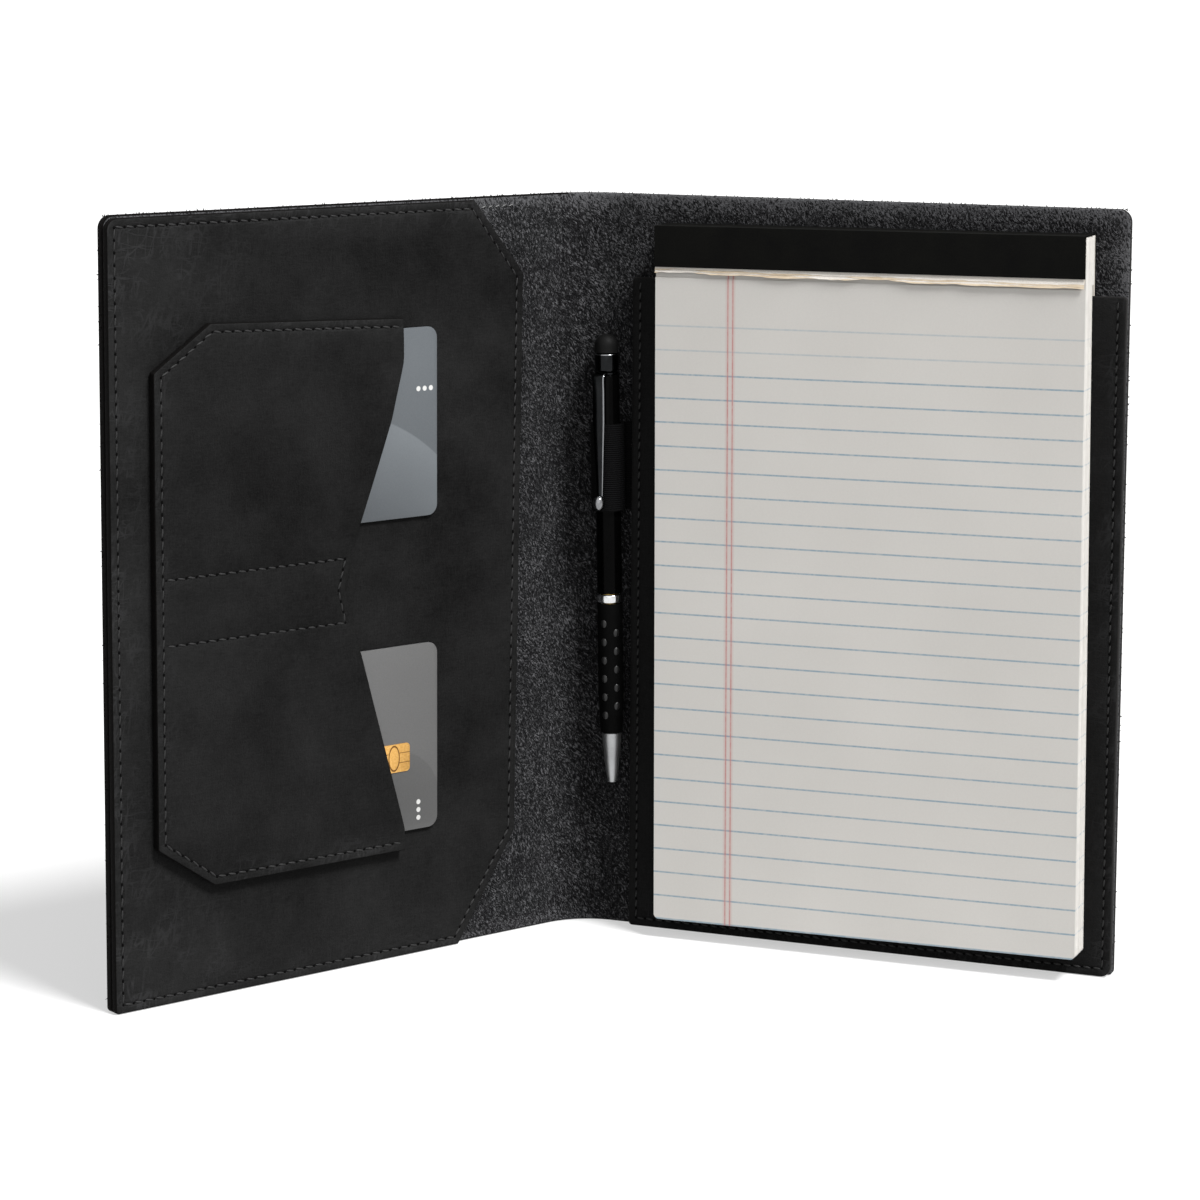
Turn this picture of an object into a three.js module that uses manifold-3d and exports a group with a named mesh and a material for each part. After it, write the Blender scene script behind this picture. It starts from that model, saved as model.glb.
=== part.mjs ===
// A leather notepad case, open and standing on its bottom edges, with its legal pad, two cards and a pen.
// Millimetres, +Z up. The bend runs along Z, the covers open towards -Y, and +X is the pad's side.
// Inside a cover's group X runs along the cover, and a distance in front of the hide's suede is along -Y.
import * as THREE from "three";
import { mergeVertices } from "three/addons/utils/BufferGeometryUtils.js";
import Module from "manifold-3d";

const wasm = await Module();
wasm.setup();

// The pad: a board, ruled sheets, tape over the bound edge, and stubs of sheets torn off.
const padWidth = 127;
const padHeight = 203.2;
const padLeft = 18.7; // its lower left corner, from the bend
const padBottom = 5.6;
const padSideMargin = 7.8; // hide beyond the pad
const padTopMargin = 8.5;
const padTiltDegrees = 0.55;
const boardThickness = 0.8;
const boardBack = 0.5; // in front of the suede
const paperBottomThickness = 9.4; // the sheets fan out below
const paperTopThickness = 7;
const bindingHeight = 13.7; // the part of the pad where the sheets are bound to the board
const thinGap = 0.15;
const tapeThickness = 0.25;
const tapeFrontHeight = 11.5;
const tapeBackHeight = 12;
const stubThickness = 0.4;
const stubHeight = 14.2;
const sheetThickness = 0.2;
const sheetHingeGap = 0.3; // between the torn stubs and the top sheet

// The panel that the pad's board slides behind.
const padPanelThickness = 2.6;
const padPanelLeft = 6.8; // from the bend
const panelBelowBinding = 1.9;
const slotClearance = 0.3; // in front of the board
const slotSide = 3; // room beside the board
const slotUnder = 0.4; // the slot's floor below the board's corner

// The cards, of the standard size.
const cardLength = 85.6;
const cardHeight = 53.98;
const cardThickness = 0.76;
const cardCorner = 3.18;
const cardEdge = 44.6; // distance of a card's showing edge from the bend
const cardShows = 12.8; // how far it stands out of the pocket
const cardsApart = 36.8; // between the two, one above the other
const cardSlotSide = 0.6; // room above, below and beyond a card
const cardSlotFront = 0.44; // room in front of a card, for its chip
const chipWidth = 12;
const chipHeight = 9.6;
const chipCorner = 1.2;
const chipThickness = 0.15;
const chipFromEdge = 9.2; // from the card's showing edge
const chipFromBottom = 18.2;
const chipGap = 0.1;

// The card pocket, and the lining of the left cover that it is sewn on.
const pocketThickness = 2.4;
const pocketBottom = 31.8;
const pocketRimBelow = 5.1; // leather beyond the cards
const pocketRimAbove = 5.6;
const pocketRimFar = 10.2;
const pocketChamfer = [18.4, 12.4]; // along the cover and up
const pocketTopFall = 2.5; // the top edge drops this much towards the mouth
const pocketCorner = 1;
const mouthDepth = 20.6; // how far the mouth cuts back between the two cards
const mouthCurve = [ // shares of that depth and of half the pocket's height, upwards, and each corner's radius
  [0, -0.92, 6],
  [0.74, -0.24, 0],
  [1, 0, 2],
  [0.89, 0.13, 0],
  [0.21, 0.6, 20],
  [0, 0.81, 12],
];
const dividerFromCard = 9.3; // the two rows of stitches between the cards
const dividerEnd = 1; // short of the pocket's outer seam
const liningThickness = 2.2;
const liningDrop = 0.7; // the lining's top edge below the hide's
const liningEdgeTop = 12.4; // distance of its inner edge from the bend at the top chamfer
const liningEdgeBottom = 15.2;
const liningChamferTop = [17.7, 21.6]; // along the cover and down
const liningChamferBottom = [20.8, 31.1];

// The sewing threads, as the flat line that each seam makes in its groove.
const threadWidth = 0.8;
const threadHeight = 0.3;
const threadGap = 0.2;
const seamInset = 2.4; // from the edge of the leather
const seamEnd = 1; // an open seam stops this far short

// The hide: one piece of leather that makes both covers and the bend between them.
const openingDegrees = 118; // between the two covers
const hideThickness = 2.4;
const closedRoom = 0.7; // between the pad and the card pocket when the case is closed
const foldShift = 4.2; // both folds lie this far left along the hide, so that the closed bend clears the pen
const foldGap = 0.3;
const cornerRadius = 3;
const panelCorner = 1;
const layerGap = 0.2; // between layers that are sewn together

// The refill, and what it goes through.
const refillRadius = 1.5;
const refillClearance = 0.45;
const refillTipRadius = 0.35;
const refillTipLength = 1.1;
const refillNeckRadius = 0.55;
const refillNeckClearance = 0.2;
const refillNeckTop = 5;
const refillShoulderTop = 9;
const refillSunk = 0.4; // the point is this far inside the cone
const refillBelowCollar = 9.8;
const sleeveLength = 26;
const sleeveClearance = 0.25; // inside the barrel
const sleeveWall = 0.95;
const sleeveRefillRoom = 0.3;
const sleeveSunk = 6.6; // how much of the sleeve is inside the grip

// The pen, from its tip upwards.
const penTipToPanel = 4.4; // the tip's axis left of the pad panel's edge
const penTipHeight = 43.7;
const penLeanDegrees = 1.2;
const penGap = 0.3; // between its pieces
const coneLength = 14.8;
const coneTipRadius = 1.1;
const coneBaseRadius = 3.1;
const coneCurve = [[0, 0], [0.35, 0.35], [0.72, 0.83], [1, 1]]; // shares of its length and of its widening
const coneBoreSteps = [3, 6]; // the bore widens between these heights
const barrelLength = 65.5;
const barrelRadius = 3.65;
const gripLength = 38.8;
const gripProud = 0.1; // of the barrel
const gripBottomProud = 0.2; // of the cone
const gripTaper = 11.6; // its lower end widens over this length
const bumpColumns = 4;
const bumpRows = 6;
const bumpPitch = 5.4;
const bumpFirst = 6.4; // above the grip's lower end
const bumpTurnDegrees = 21; // the first column from the cover's normal
const bumpRise = 0.15;
const bumpSize = [0.4, 1, 1.15]; // half sizes outwards, round the grip and along it
const ringLength = 2.7;
const ringProud = 0.2; // of the barrel
const ringBevel = 0.4;
const collarLength = 5.5;
const collarInset = 0.1; // from the barrel
const collarBevel = 0.3;
const domeLength = 5.7;
const domeInset = 0.05; // from the collar
const domeSteps = 6;

// The clip: a washer under the collar, an arm and a ball.
const clipTurnDegrees = 2;
const clipThickness = 0.9;
const clipTopWidth = 3.6;
const clipEndWidth = 1.8;
const washerThickness = 0.5;
const washerBore = 2.2;
const washerInset = 0.05; // from the barrel
const clipStandOff = 1.9; // the arm's inner face beyond the barrel
const clipShoulder = 3.4; // the arm turns down over this height
const clipBevel = [1.1, 1.6]; // its outer shoulder, across and down
const clipBulge = 0.2; // its middle stands this much further out
const clipBulgeBelow = 14; // below the washer
const clipBend = 20; // radius of its gentle bends
const ballRadius = 1.8;
const ballLength = 4.6;
const ballBelowWasher = 37.3;
const ballClearance = 0.15; // outside the elastic
const ballOverlap = 2; // the arm ends this far above the ball's middle

// The elastic loop that holds the pen.
const loopHeight = 25.6;
const loopAboveRing = 24.9;
const loopClearance = 0.25; // round the widest piece that passes through
const loopBehind = 0.3; // between the loop and the suede
const elasticThickness = 0.8;
const tailThickness = 1;
const tailLength = 7.5; // under the pad panel
const tailGap = 0.25;
const tailSlotEnd = 1; // room above and below the tail

// How finely the round pieces are divided.
const bendSteps = 6; // in half of the bend
const cornerSteps = 5;
const turnedSteps = 32;
const thinTurnedSteps = 24;
const refillSteps = 16;
const loopSteps = 16;
const bumpSteps = [8, 6];
const ballSteps = [16, 12];

// Distances in front of the suede.
const liningFront = layerGap + liningThickness;
const pocketBack = liningFront + layerGap;
const pocketFront = pocketBack + pocketThickness;
const cardBack = pocketBack;
const padPanelFront = layerGap + padPanelThickness;
const boardFront = boardBack + boardThickness;
const paperBack = padPanelFront + layerGap;
const paperLean = (paperBottomThickness - paperTopThickness) / padHeight;
const paperFront = (z) => paperBack + paperBottomThickness - z * paperLean;
const padFront = paperFront(0) + thinGap + sheetThickness;

// Places on the covers.
const caseHeight = padBottom + padHeight + padTopMargin;
const coverLength = padLeft + padWidth + padSideMargin; // from the end of the bend to the free edge
const padPanelTop = padBottom + padHeight - bindingHeight - panelBelowBinding;
const lowerCardBottom = pocketBottom + pocketRimBelow;
const upperCardBottom = lowerCardBottom + cardHeight + cardsApart;
const pocketTop = upperCardBottom + cardHeight + pocketRimAbove;
const pocketMiddle = (pocketTop + pocketBottom) / 2;
const pocketMouth = cardEdge + cardShows; // distance of the mouth from the bend
const pocketFar = cardEdge + cardLength + cardSlotSide + pocketRimFar;

// The bend is an arc, and the folds are the lines where the stretches of hide turn.
const bendChord = padFront + pocketFront + closedRoom; // straight across the mouth of the bend
const bendHalf = THREE.MathUtils.degToRad((180 - openingDegrees) / 2);
const bendRadius = bendChord / 2 / Math.sin(bendHalf);
const bendLength = bendRadius * bendHalf; // half of the bend, along the suede
const rightFold = bendLength - foldShift; // places on the hide, from the middle of the bend
const leftFold = -bendLength - foldShift;

// The pen's own sizes.
const gripTop = coneLength + gripLength;
const barrelBottom = gripTop + ringLength;
const barrelTop = barrelBottom + barrelLength;
const collarTop = barrelTop + collarLength;
const gripBottomRadius = coneBaseRadius + gripBottomProud;
const gripTopRadius = barrelRadius + gripProud;
const gripBoreRadius = refillRadius + refillClearance;
const ringRadius = barrelRadius + ringProud;
const collarRadius = barrelRadius - collarInset;
const domeRadius = collarRadius - domeInset;
const sleeveBore = refillRadius + sleeveRefillRoom;
const sleeveRadius = sleeveBore + sleeveWall;
const barrelBore = sleeveRadius + sleeveClearance;
const loopRadius = Math.max(gripTopRadius + bumpRise, ringRadius) + loopClearance;
const loopOuter = loopRadius + elasticThickness;
const loopBottom = barrelBottom + loopAboveRing; // above the pen's tip
const penForward = loopOuter + loopBehind; // the pen's axis in front of the suede
const penTipAlong = padPanelLeft - penTipToPanel; // from the bend
const penLean = THREE.MathUtils.degToRad(penLeanDegrees);
const padTilt = THREE.MathUtils.degToRad(padTiltDegrees);

// Solids for cutting and joining.
function toSolid(geometry) {
  const plain = geometry.index ? geometry.toNonIndexed() : geometry.clone();
  plain.deleteAttribute("normal");
  plain.deleteAttribute("uv");
  const merged = mergeVertices(plain, 1e-4);
  return new wasm.Manifold(
    new wasm.Mesh({
      numProp: 3,
      vertProperties: merged.attributes.position.array,
      triVerts: new Uint32Array(merged.index.array),
    }),
  );
}

function toGeometry(solid) {
  const mesh = solid.getMesh();
  const geometry = new THREE.BufferGeometry();
  geometry.setAttribute("position", new THREE.BufferAttribute(mesh.vertProperties, 3));
  geometry.setIndex(new THREE.BufferAttribute(mesh.triVerts, 1));
  return geometry;
}

function cut(geometry, ...tools) {
  return toGeometry(tools.reduce((solid, tool) => solid.subtract(toSolid(tool)), toSolid(geometry)));
}

function join(geometry, ...others) {
  return toGeometry(others.reduce((solid, other) => solid.add(toSolid(other)), toSolid(geometry)));
}

function common(geometry, other) {
  return toGeometry(toSolid(geometry).intersect(toSolid(other)));
}

// An outline of [x, z, radius] corners, each rounded by its radius where it has one.
function outline(corners) {
  const points = corners.map(([x, z]) => new THREE.Vector2(x, z));
  const shape = new THREE.Shape();
  points.forEach((point, i) => {
    const radius = corners[i][2] ?? 0;
    const before = points.at(i - 1).clone().sub(point).normalize();
    const after = points[(i + 1) % points.length].clone().sub(point).normalize();
    const turn = Math.PI - Math.acos(before.dot(after));
    const reach = radius * Math.tan(turn / 2);
    const start = point.clone().addScaledVector(before, reach);
    const end = point.clone().addScaledVector(after, reach);
    if (i === 0) shape.moveTo(start.x, start.y);
    else shape.lineTo(start.x, start.y);
    if (radius === 0) return;
    const pull = reach - (4 / 3) * Math.tan(turn / 4) * radius;
    const a = point.clone().addScaledVector(before, pull);
    const b = point.clone().addScaledVector(after, pull);
    shape.bezierCurveTo(a.x, a.y, b.x, b.y, end.x, end.y);
  });
  return shape;
}

// A plate of that outline, between two distances in front of the suede.
function plate(shape, back, front) {
  const geometry = new THREE.ExtrudeGeometry(shape, {
    depth: front - back,
    bevelEnabled: false,
    curveSegments: cornerSteps,
  });
  return geometry.rotateX(Math.PI / 2).translate(0, -back, 0);
}

// A bar from left to right whose side view is an outline of [distance in front, z].
function bar(shape, left, right) {
  const geometry = new THREE.ExtrudeGeometry(shape, {
    depth: right - left,
    bevelEnabled: false,
    curveSegments: cornerSteps,
  });
  const toFront = new THREE.Vector3(0, -1, 0);
  const up = new THREE.Vector3(0, 0, 1);
  const toLeft = new THREE.Vector3(-1, 0, 0);
  return geometry.applyMatrix4(new THREE.Matrix4().makeBasis(toFront, up, toLeft)).translate(right, 0, 0);
}

// An upright column whose plan is a shape.
function column(shape, bottom, height, curveSegments) {
  const geometry = new THREE.ExtrudeGeometry(shape, { depth: height, bevelEnabled: false, curveSegments });
  return geometry.translate(0, 0, bottom);
}

// A turned piece: [radius, z] round the pen's axis, outside upwards first.
function turned(profile, segments = turnedSteps) {
  const points = [...profile, profile[0]].map(([r, z]) => new THREE.Vector2(r, z));
  return new THREE.LatheGeometry(points, segments).rotateX(Math.PI / 2);
}

// A line of [x, z] points moved to its left by a distance. A closed one joins its last point to its first.
function besideLine(line, distance, closed = false) {
  const points = line.map(([x, z]) => new THREE.Vector2(x, z));
  const last = points.length - 1;
  return points.map((point, i) => {
    const before = i > 0 || !closed ? points[Math.max(i - 1, 0)] : points[last];
    const after = i < last || !closed ? points[Math.min(i + 1, last)] : points[0];
    const into = point.clone().sub(before).normalize();
    const out = after.clone().sub(point).normalize();
    if (into.length() === 0) into.copy(out);
    if (out.length() === 0) out.copy(into);
    const middle = into.clone().add(out).normalize();
    const across = new THREE.Vector2(-middle.y, middle.x);
    const reach = distance / across.dot(new THREE.Vector2(-into.y, into.x));
    return [point.x + across.x * reach, point.y + across.y * reach];
  });
}

// An open line with both ends moved outwards along it, or inwards where the distance is negative.
function lengthened(line, distance) {
  const end = (point, next) => {
    const here = new THREE.Vector2(...point);
    const away = here.clone().sub(new THREE.Vector2(...next)).normalize();
    return here.addScaledVector(away, distance).toArray();
  };
  return [end(line[0], line[1]), ...line.slice(1, -1), end(line.at(-1), line.at(-2))];
}

function toShape(line) {
  return new THREE.Shape(line.map(([x, z]) => new THREE.Vector2(x, z)));
}

// A flat strip of one width along a line.
function strip(line, width, closed = false) {
  const left = besideLine(line, width / 2, closed);
  const right = besideLine(line, -width / 2, closed);
  if (!closed) return toShape([...left, ...right.reverse()]);
  const shape = toShape(right);
  shape.holes.push(toShape(left));
  return shape;
}

// A seam's thread, level with the leather that it is sewn in, and the groove that it lies in.
function thread(line, front, closed = false) {
  return plate(strip(line, threadWidth, closed), front - threadHeight, front);
}

function groove(line, front, closed = false) {
  const run = closed ? line : lengthened(line, threadGap);
  const floor = front - threadHeight - threadGap;
  return plate(strip(run, threadWidth + 2 * threadGap, closed), floor, front + layerGap);
}

// A place on the hide's suede, u along it from the middle of the bend, moved outwards by a distance.
function onHide(u, outwards) {
  const turn = THREE.MathUtils.clamp(u / bendRadius, -bendHalf, bendHalf);
  const straight = u - turn * bendRadius;
  return new THREE.Vector2(
    (bendRadius + outwards) * Math.sin(turn) + straight * Math.cos(turn),
    (bendRadius + outwards) * Math.cos(turn) - straight * Math.sin(turn) - bendRadius * Math.cos(bendHalf),
  );
}

// The stretch of hide from u = from to u = to. Its ends are bevelled where it opens flat against the next.
function hideStretch(from, to, bevelFrom, bevelTo) {
  const bevel = hideThickness * Math.tan(bendHalf / 2);
  const places = (start, end) => {
    const inBend = [];
    const step = bendLength / bendSteps;
    for (let u = -bendLength; u < bendLength + step / 2; u += step) {
      if (u > start + step / 3 && u < end - step / 3) inBend.push(u);
    }
    return [start, ...inBend, end];
  };
  const inner = places(from, to).map((u) => onHide(u, 0));
  const outer = places(from + bevelFrom * bevel, to - bevelTo * bevel).map((u) => onHide(u, hideThickness));
  return column(new THREE.Shape([...inner, ...outer.reverse()]), 0, caseHeight, 1);
}

// Both covers: their frames stand where the bend ends.
const rightCover = new THREE.Group();
rightCover.position.set(bendChord / 2, 0, 0);
rightCover.rotation.z = -bendHalf;
const leftCover = new THREE.Group();
leftCover.position.set(-bendChord / 2, 0, 0);
leftCover.rotation.z = bendHalf;

function inCoverFrame(geometry, cover) {
  cover.updateMatrix();
  return geometry.clone().applyMatrix4(cover.matrix);
}

// A board of the cover's front view, thick enough to hold the hide, with the free corners rounded.
function freeCorners(side) {
  const behindBend = -side * bendChord;
  const corners = [
    [behindBend, 0],
    [side * coverLength, 0, cornerRadius],
    [side * coverLength, caseHeight, cornerRadius],
    [behindBend, caseHeight],
  ];
  return plate(outline(corners), -bendChord, bendChord);
}

function coverRight() {
  const hide = hideStretch(rightFold + foldGap / 2, bendLength + coverLength, 1, 0);
  return common(hide, inCoverFrame(freeCorners(1), rightCover));
}

function coverLeft() {
  const hide = hideStretch(-bendLength - coverLength, leftFold - foldGap / 2, 0, 1);
  return common(hide, inCoverFrame(freeCorners(-1), leftCover));
}

function spine() {
  return hideStretch(leftFold + foldGap / 2, rightFold - foldGap / 2, 1, 1);
}

// The lining of the left cover, chamfered towards the bend and sewn all round.
const liningHeight = caseHeight - liningDrop;
const liningCorners = [
  [-liningEdgeBottom - liningChamferBottom[0], 0],
  [-liningEdgeBottom, liningChamferBottom[1]],
  [-liningEdgeTop, liningHeight - liningChamferTop[1]],
  [-liningEdgeTop - liningChamferTop[0], liningHeight],
  [-coverLength, liningHeight, cornerRadius],
  [-coverLength, 0, cornerRadius],
];
const liningSeam = besideLine(liningCorners, seamInset, true);

function lining() {
  return cut(plate(outline(liningCorners), layerGap, liningFront), groove(liningSeam, liningFront, true));
}

function liningThread() {
  return thread(liningSeam, liningFront, true);
}

// The card pocket: one piece of leather, sewn down round its outside and between the two cards.
const mouthEnds = { top: [-pocketMouth, pocketTop - pocketTopFall], bottom: [-pocketMouth, pocketBottom] };
const pocketOutside = [
  mouthEnds.top,
  [-pocketFar + pocketChamfer[0], pocketTop, pocketCorner],
  [-pocketFar, pocketTop - pocketChamfer[1], pocketCorner],
  [-pocketFar, pocketBottom + pocketChamfer[1], pocketCorner],
  [-pocketFar + pocketChamfer[0], pocketBottom, pocketCorner],
  mouthEnds.bottom,
];
const pocketSeam = lengthened(besideLine(pocketOutside, seamInset), -seamEnd);
const deepest = -pocketMouth - mouthDepth;
const dividerFar = -pocketFar + seamInset + dividerEnd;
const dividerSeam = [
  [dividerFar, upperCardBottom - dividerFromCard],
  [deepest, upperCardBottom - dividerFromCard],
  [deepest - seamInset, pocketMiddle],
  [deepest, lowerCardBottom + cardHeight + dividerFromCard],
  [dividerFar, lowerCardBottom + cardHeight + dividerFromCard],
];

function cardSlot(bottom) {
  const low = bottom - cardSlotSide;
  const high = bottom + cardHeight + cardSlotSide;
  const deep = -cardEdge - cardLength - cardSlotSide;
  const back = pocketBack - layerGap;
  const front = cardBack + cardThickness + cardSlotFront;
  return plate(outline([[deep, low], [0, low], [0, high], [deep, high]]), back, front);
}

function cardPocket() {
  const halfHeight = (pocketTop - pocketBottom) / 2;
  const mouth = mouthCurve.map(([depth, height, radius]) => [
    -pocketMouth - depth * mouthDepth,
    pocketMiddle + height * halfHeight,
    radius,
  ]);
  const whole = plate(outline([...pocketOutside, ...mouth]), pocketBack, pocketFront);
  const grooves = [groove(pocketSeam, pocketFront), groove(dividerSeam, pocketFront)];
  return cut(whole, cardSlot(upperCardBottom), cardSlot(lowerCardBottom), ...grooves);
}

function pocketThread() {
  return thread(pocketSeam, pocketFront);
}

function dividerThread() {
  return thread(dividerSeam, pocketFront);
}

function card(bottom) {
  const top = bottom + cardHeight;
  const deep = -cardEdge - cardLength;
  const corners = [
    [deep, bottom, cardCorner],
    [-cardEdge, bottom, cardCorner],
    [-cardEdge, top, cardCorner],
    [deep, top, cardCorner],
  ];
  return plate(outline(corners), cardBack, cardBack + cardThickness);
}

function cardChip() {
  const right = -cardEdge - chipFromEdge;
  const low = lowerCardBottom + chipFromBottom;
  const corners = [
    [right - chipWidth, low, chipCorner],
    [right, low, chipCorner],
    [right, low + chipHeight, chipCorner],
    [right - chipWidth, low + chipHeight, chipCorner],
  ];
  const back = cardBack + cardThickness + chipGap;
  return plate(outline(corners), back, back + chipThickness);
}

// The pad's panel, hollowed behind for the board, which goes in from above, and for the elastic's tail.
// It is sewn on three sides.
const panelSides = [
  [padPanelLeft, padPanelTop],
  [padPanelLeft, 0],
  [coverLength, 0],
  [coverLength, padPanelTop],
];
const panelSeam = lengthened(besideLine(panelSides, seamInset), -seamEnd);

function boardSlot() {
  const left = padLeft - slotSide;
  const right = padLeft + padWidth + slotSide - padHeight * Math.sin(padTilt);
  const floor = padBottom - slotUnder;
  const corners = [[left, floor], [right, floor], [right, caseHeight], [left, caseHeight]];
  return plate(outline(corners), 0, boardFront + slotClearance);
}

function tailSlot() {
  const loopLow = penTipHeight + loopBottom * Math.cos(penLean);
  const low = loopLow - tailSlotEnd;
  const high = loopLow + loopHeight + tailSlotEnd;
  const right = padPanelLeft + tailLength + tailGap;
  const corners = [[0, low], [right, low], [right, high], [0, high]];
  return plate(outline(corners), 0, loopBehind + tailThickness + tailGap);
}

function padPanel() {
  const [topLeft, bottomLeft, bottomRight, topRight] = panelSides;
  const corners = [
    [...bottomLeft, panelCorner],
    [...bottomRight, cornerRadius],
    [...topRight, panelCorner],
    [...topLeft, panelCorner],
  ];
  const whole = plate(outline(corners), layerGap, padPanelFront);
  return cut(whole, boardSlot(), tailSlot(), groove(panelSeam, padPanelFront));
}

function padPanelThread() {
  return thread(panelSeam, padPanelFront);
}

// The pad, in its own frame at its lower left corner.
const pad = new THREE.Group();
pad.position.set(padLeft, 0, padBottom);
pad.rotation.y = -padTilt;

function backingBoard() {
  return plate(outline([[0, 0], [padWidth, 0], [padWidth, padHeight], [0, padHeight]]), boardBack, boardFront);
}

function paperBlock() {
  const step = padHeight - bindingHeight;
  return bar(
    outline([
      [paperBack, 0],
      [paperFront(0), 0],
      [paperFront(padHeight), padHeight],
      [boardFront + thinGap, padHeight],
      [boardFront + thinGap, step],
      [paperBack, step],
    ]),
    0,
    padWidth,
  );
}

// A thin layer on the sheets' sloping front, between two heights.
function frontLayer(from, to, behind, thickness) {
  return bar(
    outline([
      [paperFront(from) + behind, from],
      [paperFront(from) + behind + thickness, from],
      [paperFront(to) + behind + thickness, to],
      [paperFront(to) + behind, to],
    ]),
    0,
    padWidth,
  );
}

function tornStubs() {
  return frontLayer(padHeight - stubHeight, padHeight, thinGap, stubThickness);
}

function topSheet() {
  return frontLayer(0, padHeight - stubHeight - sheetHingeGap, thinGap, sheetThickness);
}

function bindingTape() {
  const front = 2 * thinGap + stubThickness;
  const low = padHeight - tapeFrontHeight;
  const backLow = padHeight - tapeBackHeight;
  const high = padHeight + thinGap;
  return bar(
    outline([
      [paperFront(low) + front, low],
      [paperFront(low) + front + tapeThickness, low],
      [paperFront(high) + front + tapeThickness, high + tapeThickness],
      [boardBack - thinGap - thinGap, high + tapeThickness],
      [boardBack - thinGap - thinGap, backLow],
      [boardBack - thinGap, backLow],
      [boardBack - thinGap, high],
      [paperFront(high) + front, high],
    ]),
    0,
    padWidth,
  );
}

// The pen, in its own frame at its tip.
const pen = new THREE.Group();
pen.position.set(penTipAlong, -penForward, penTipHeight);
pen.rotation.y = -penLean;

function noseCone() {
  const widening = coneBaseRadius - coneTipRadius;
  const coneBoreRadius = refillNeckRadius + refillNeckClearance;
  return turned([
    ...coneCurve.map(([height, width]) => [coneTipRadius + widening * width, coneLength * height]),
    [gripBoreRadius, coneLength],
    [gripBoreRadius, coneBoreSteps[1]],
    [coneBoreRadius, coneBoreSteps[0]],
    [coneBoreRadius, 0],
  ]);
}

function grip() {
  const low = coneLength + penGap;
  const seat = gripTop - sleeveSunk - penGap;
  const sleeveSeat = sleeveRadius + penGap;
  const tube = turned([
    [gripBottomRadius, low],
    [gripTopRadius, low + gripTaper],
    [gripTopRadius, gripTop],
    [sleeveSeat, gripTop],
    [sleeveSeat, seat],
    [gripBoreRadius, seat],
    [gripBoreRadius, low],
  ]);
  const bumps = [];
  for (let c = 0; c < bumpColumns; c += 1) {
    const turn = THREE.MathUtils.degToRad(bumpTurnDegrees + (c * 360) / bumpColumns);
    const odd = c % 2; // every other column is half a pitch higher and has one bump less
    for (let r = 0; r < bumpRows - odd; r += 1) {
      const z = coneLength + bumpFirst + (r + odd / 2) * bumpPitch;
      const bump = new THREE.SphereGeometry(1, ...bumpSteps).scale(bumpSize[1], bumpSize[0], bumpSize[2]);
      bump.translate(0, -gripTopRadius - bumpRise + bumpSize[0], z);
      bumps.push(bump.rotateZ(turn));
    }
  }
  return join(tube, ...bumps);
}

function twistSleeve() {
  const low = gripTop - sleeveSunk;
  const high = low + sleeveLength;
  const profile = [[sleeveRadius, low], [sleeveRadius, high], [sleeveBore, high], [sleeveBore, low]];
  return turned(profile, thinTurnedSteps);
}

function centreRing() {
  const low = gripTop + penGap;
  const bore = sleeveRadius + penGap;
  return turned([
    [ringRadius - ringBevel, low],
    [ringRadius, low + ringBevel],
    [ringRadius, barrelBottom - ringBevel],
    [ringRadius - ringBevel, barrelBottom],
    [bore, barrelBottom],
    [bore, low],
  ]);
}

function barrel() {
  const low = barrelBottom + penGap;
  const high = barrelTop - penGap - washerThickness;
  return turned([[barrelRadius, low], [barrelRadius, high], [barrelBore, high], [barrelBore, low]]);
}

function collar() {
  const low = barrelTop + penGap;
  return turned([
    [collarRadius, low],
    [collarRadius, collarTop - collarBevel],
    [collarRadius - collarBevel, collarTop],
    [0, collarTop],
    [0, low],
  ]);
}

function stylusDome() {
  const low = collarTop + penGap;
  const high = collarTop + domeLength;
  const centre = high - domeRadius;
  const profile = [[domeRadius, low]];
  for (let i = 0; i < domeSteps; i += 1) {
    const turn = (i / domeSteps) * (Math.PI / 2);
    profile.push([domeRadius * Math.cos(turn), centre + domeRadius * Math.sin(turn)]);
  }
  profile.push([0, high], [0, low]);
  return turned(profile);
}

function refill() {
  const top = barrelTop - refillBelowCollar;
  const profile = [
    [refillTipRadius, refillSunk],
    [refillNeckRadius, refillSunk + refillTipLength],
    [refillNeckRadius, refillNeckTop],
    [refillRadius, refillShoulderTop],
    [refillRadius, top],
    [0, top],
    [0, refillSunk],
  ];
  return turned(profile, refillSteps);
}

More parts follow.
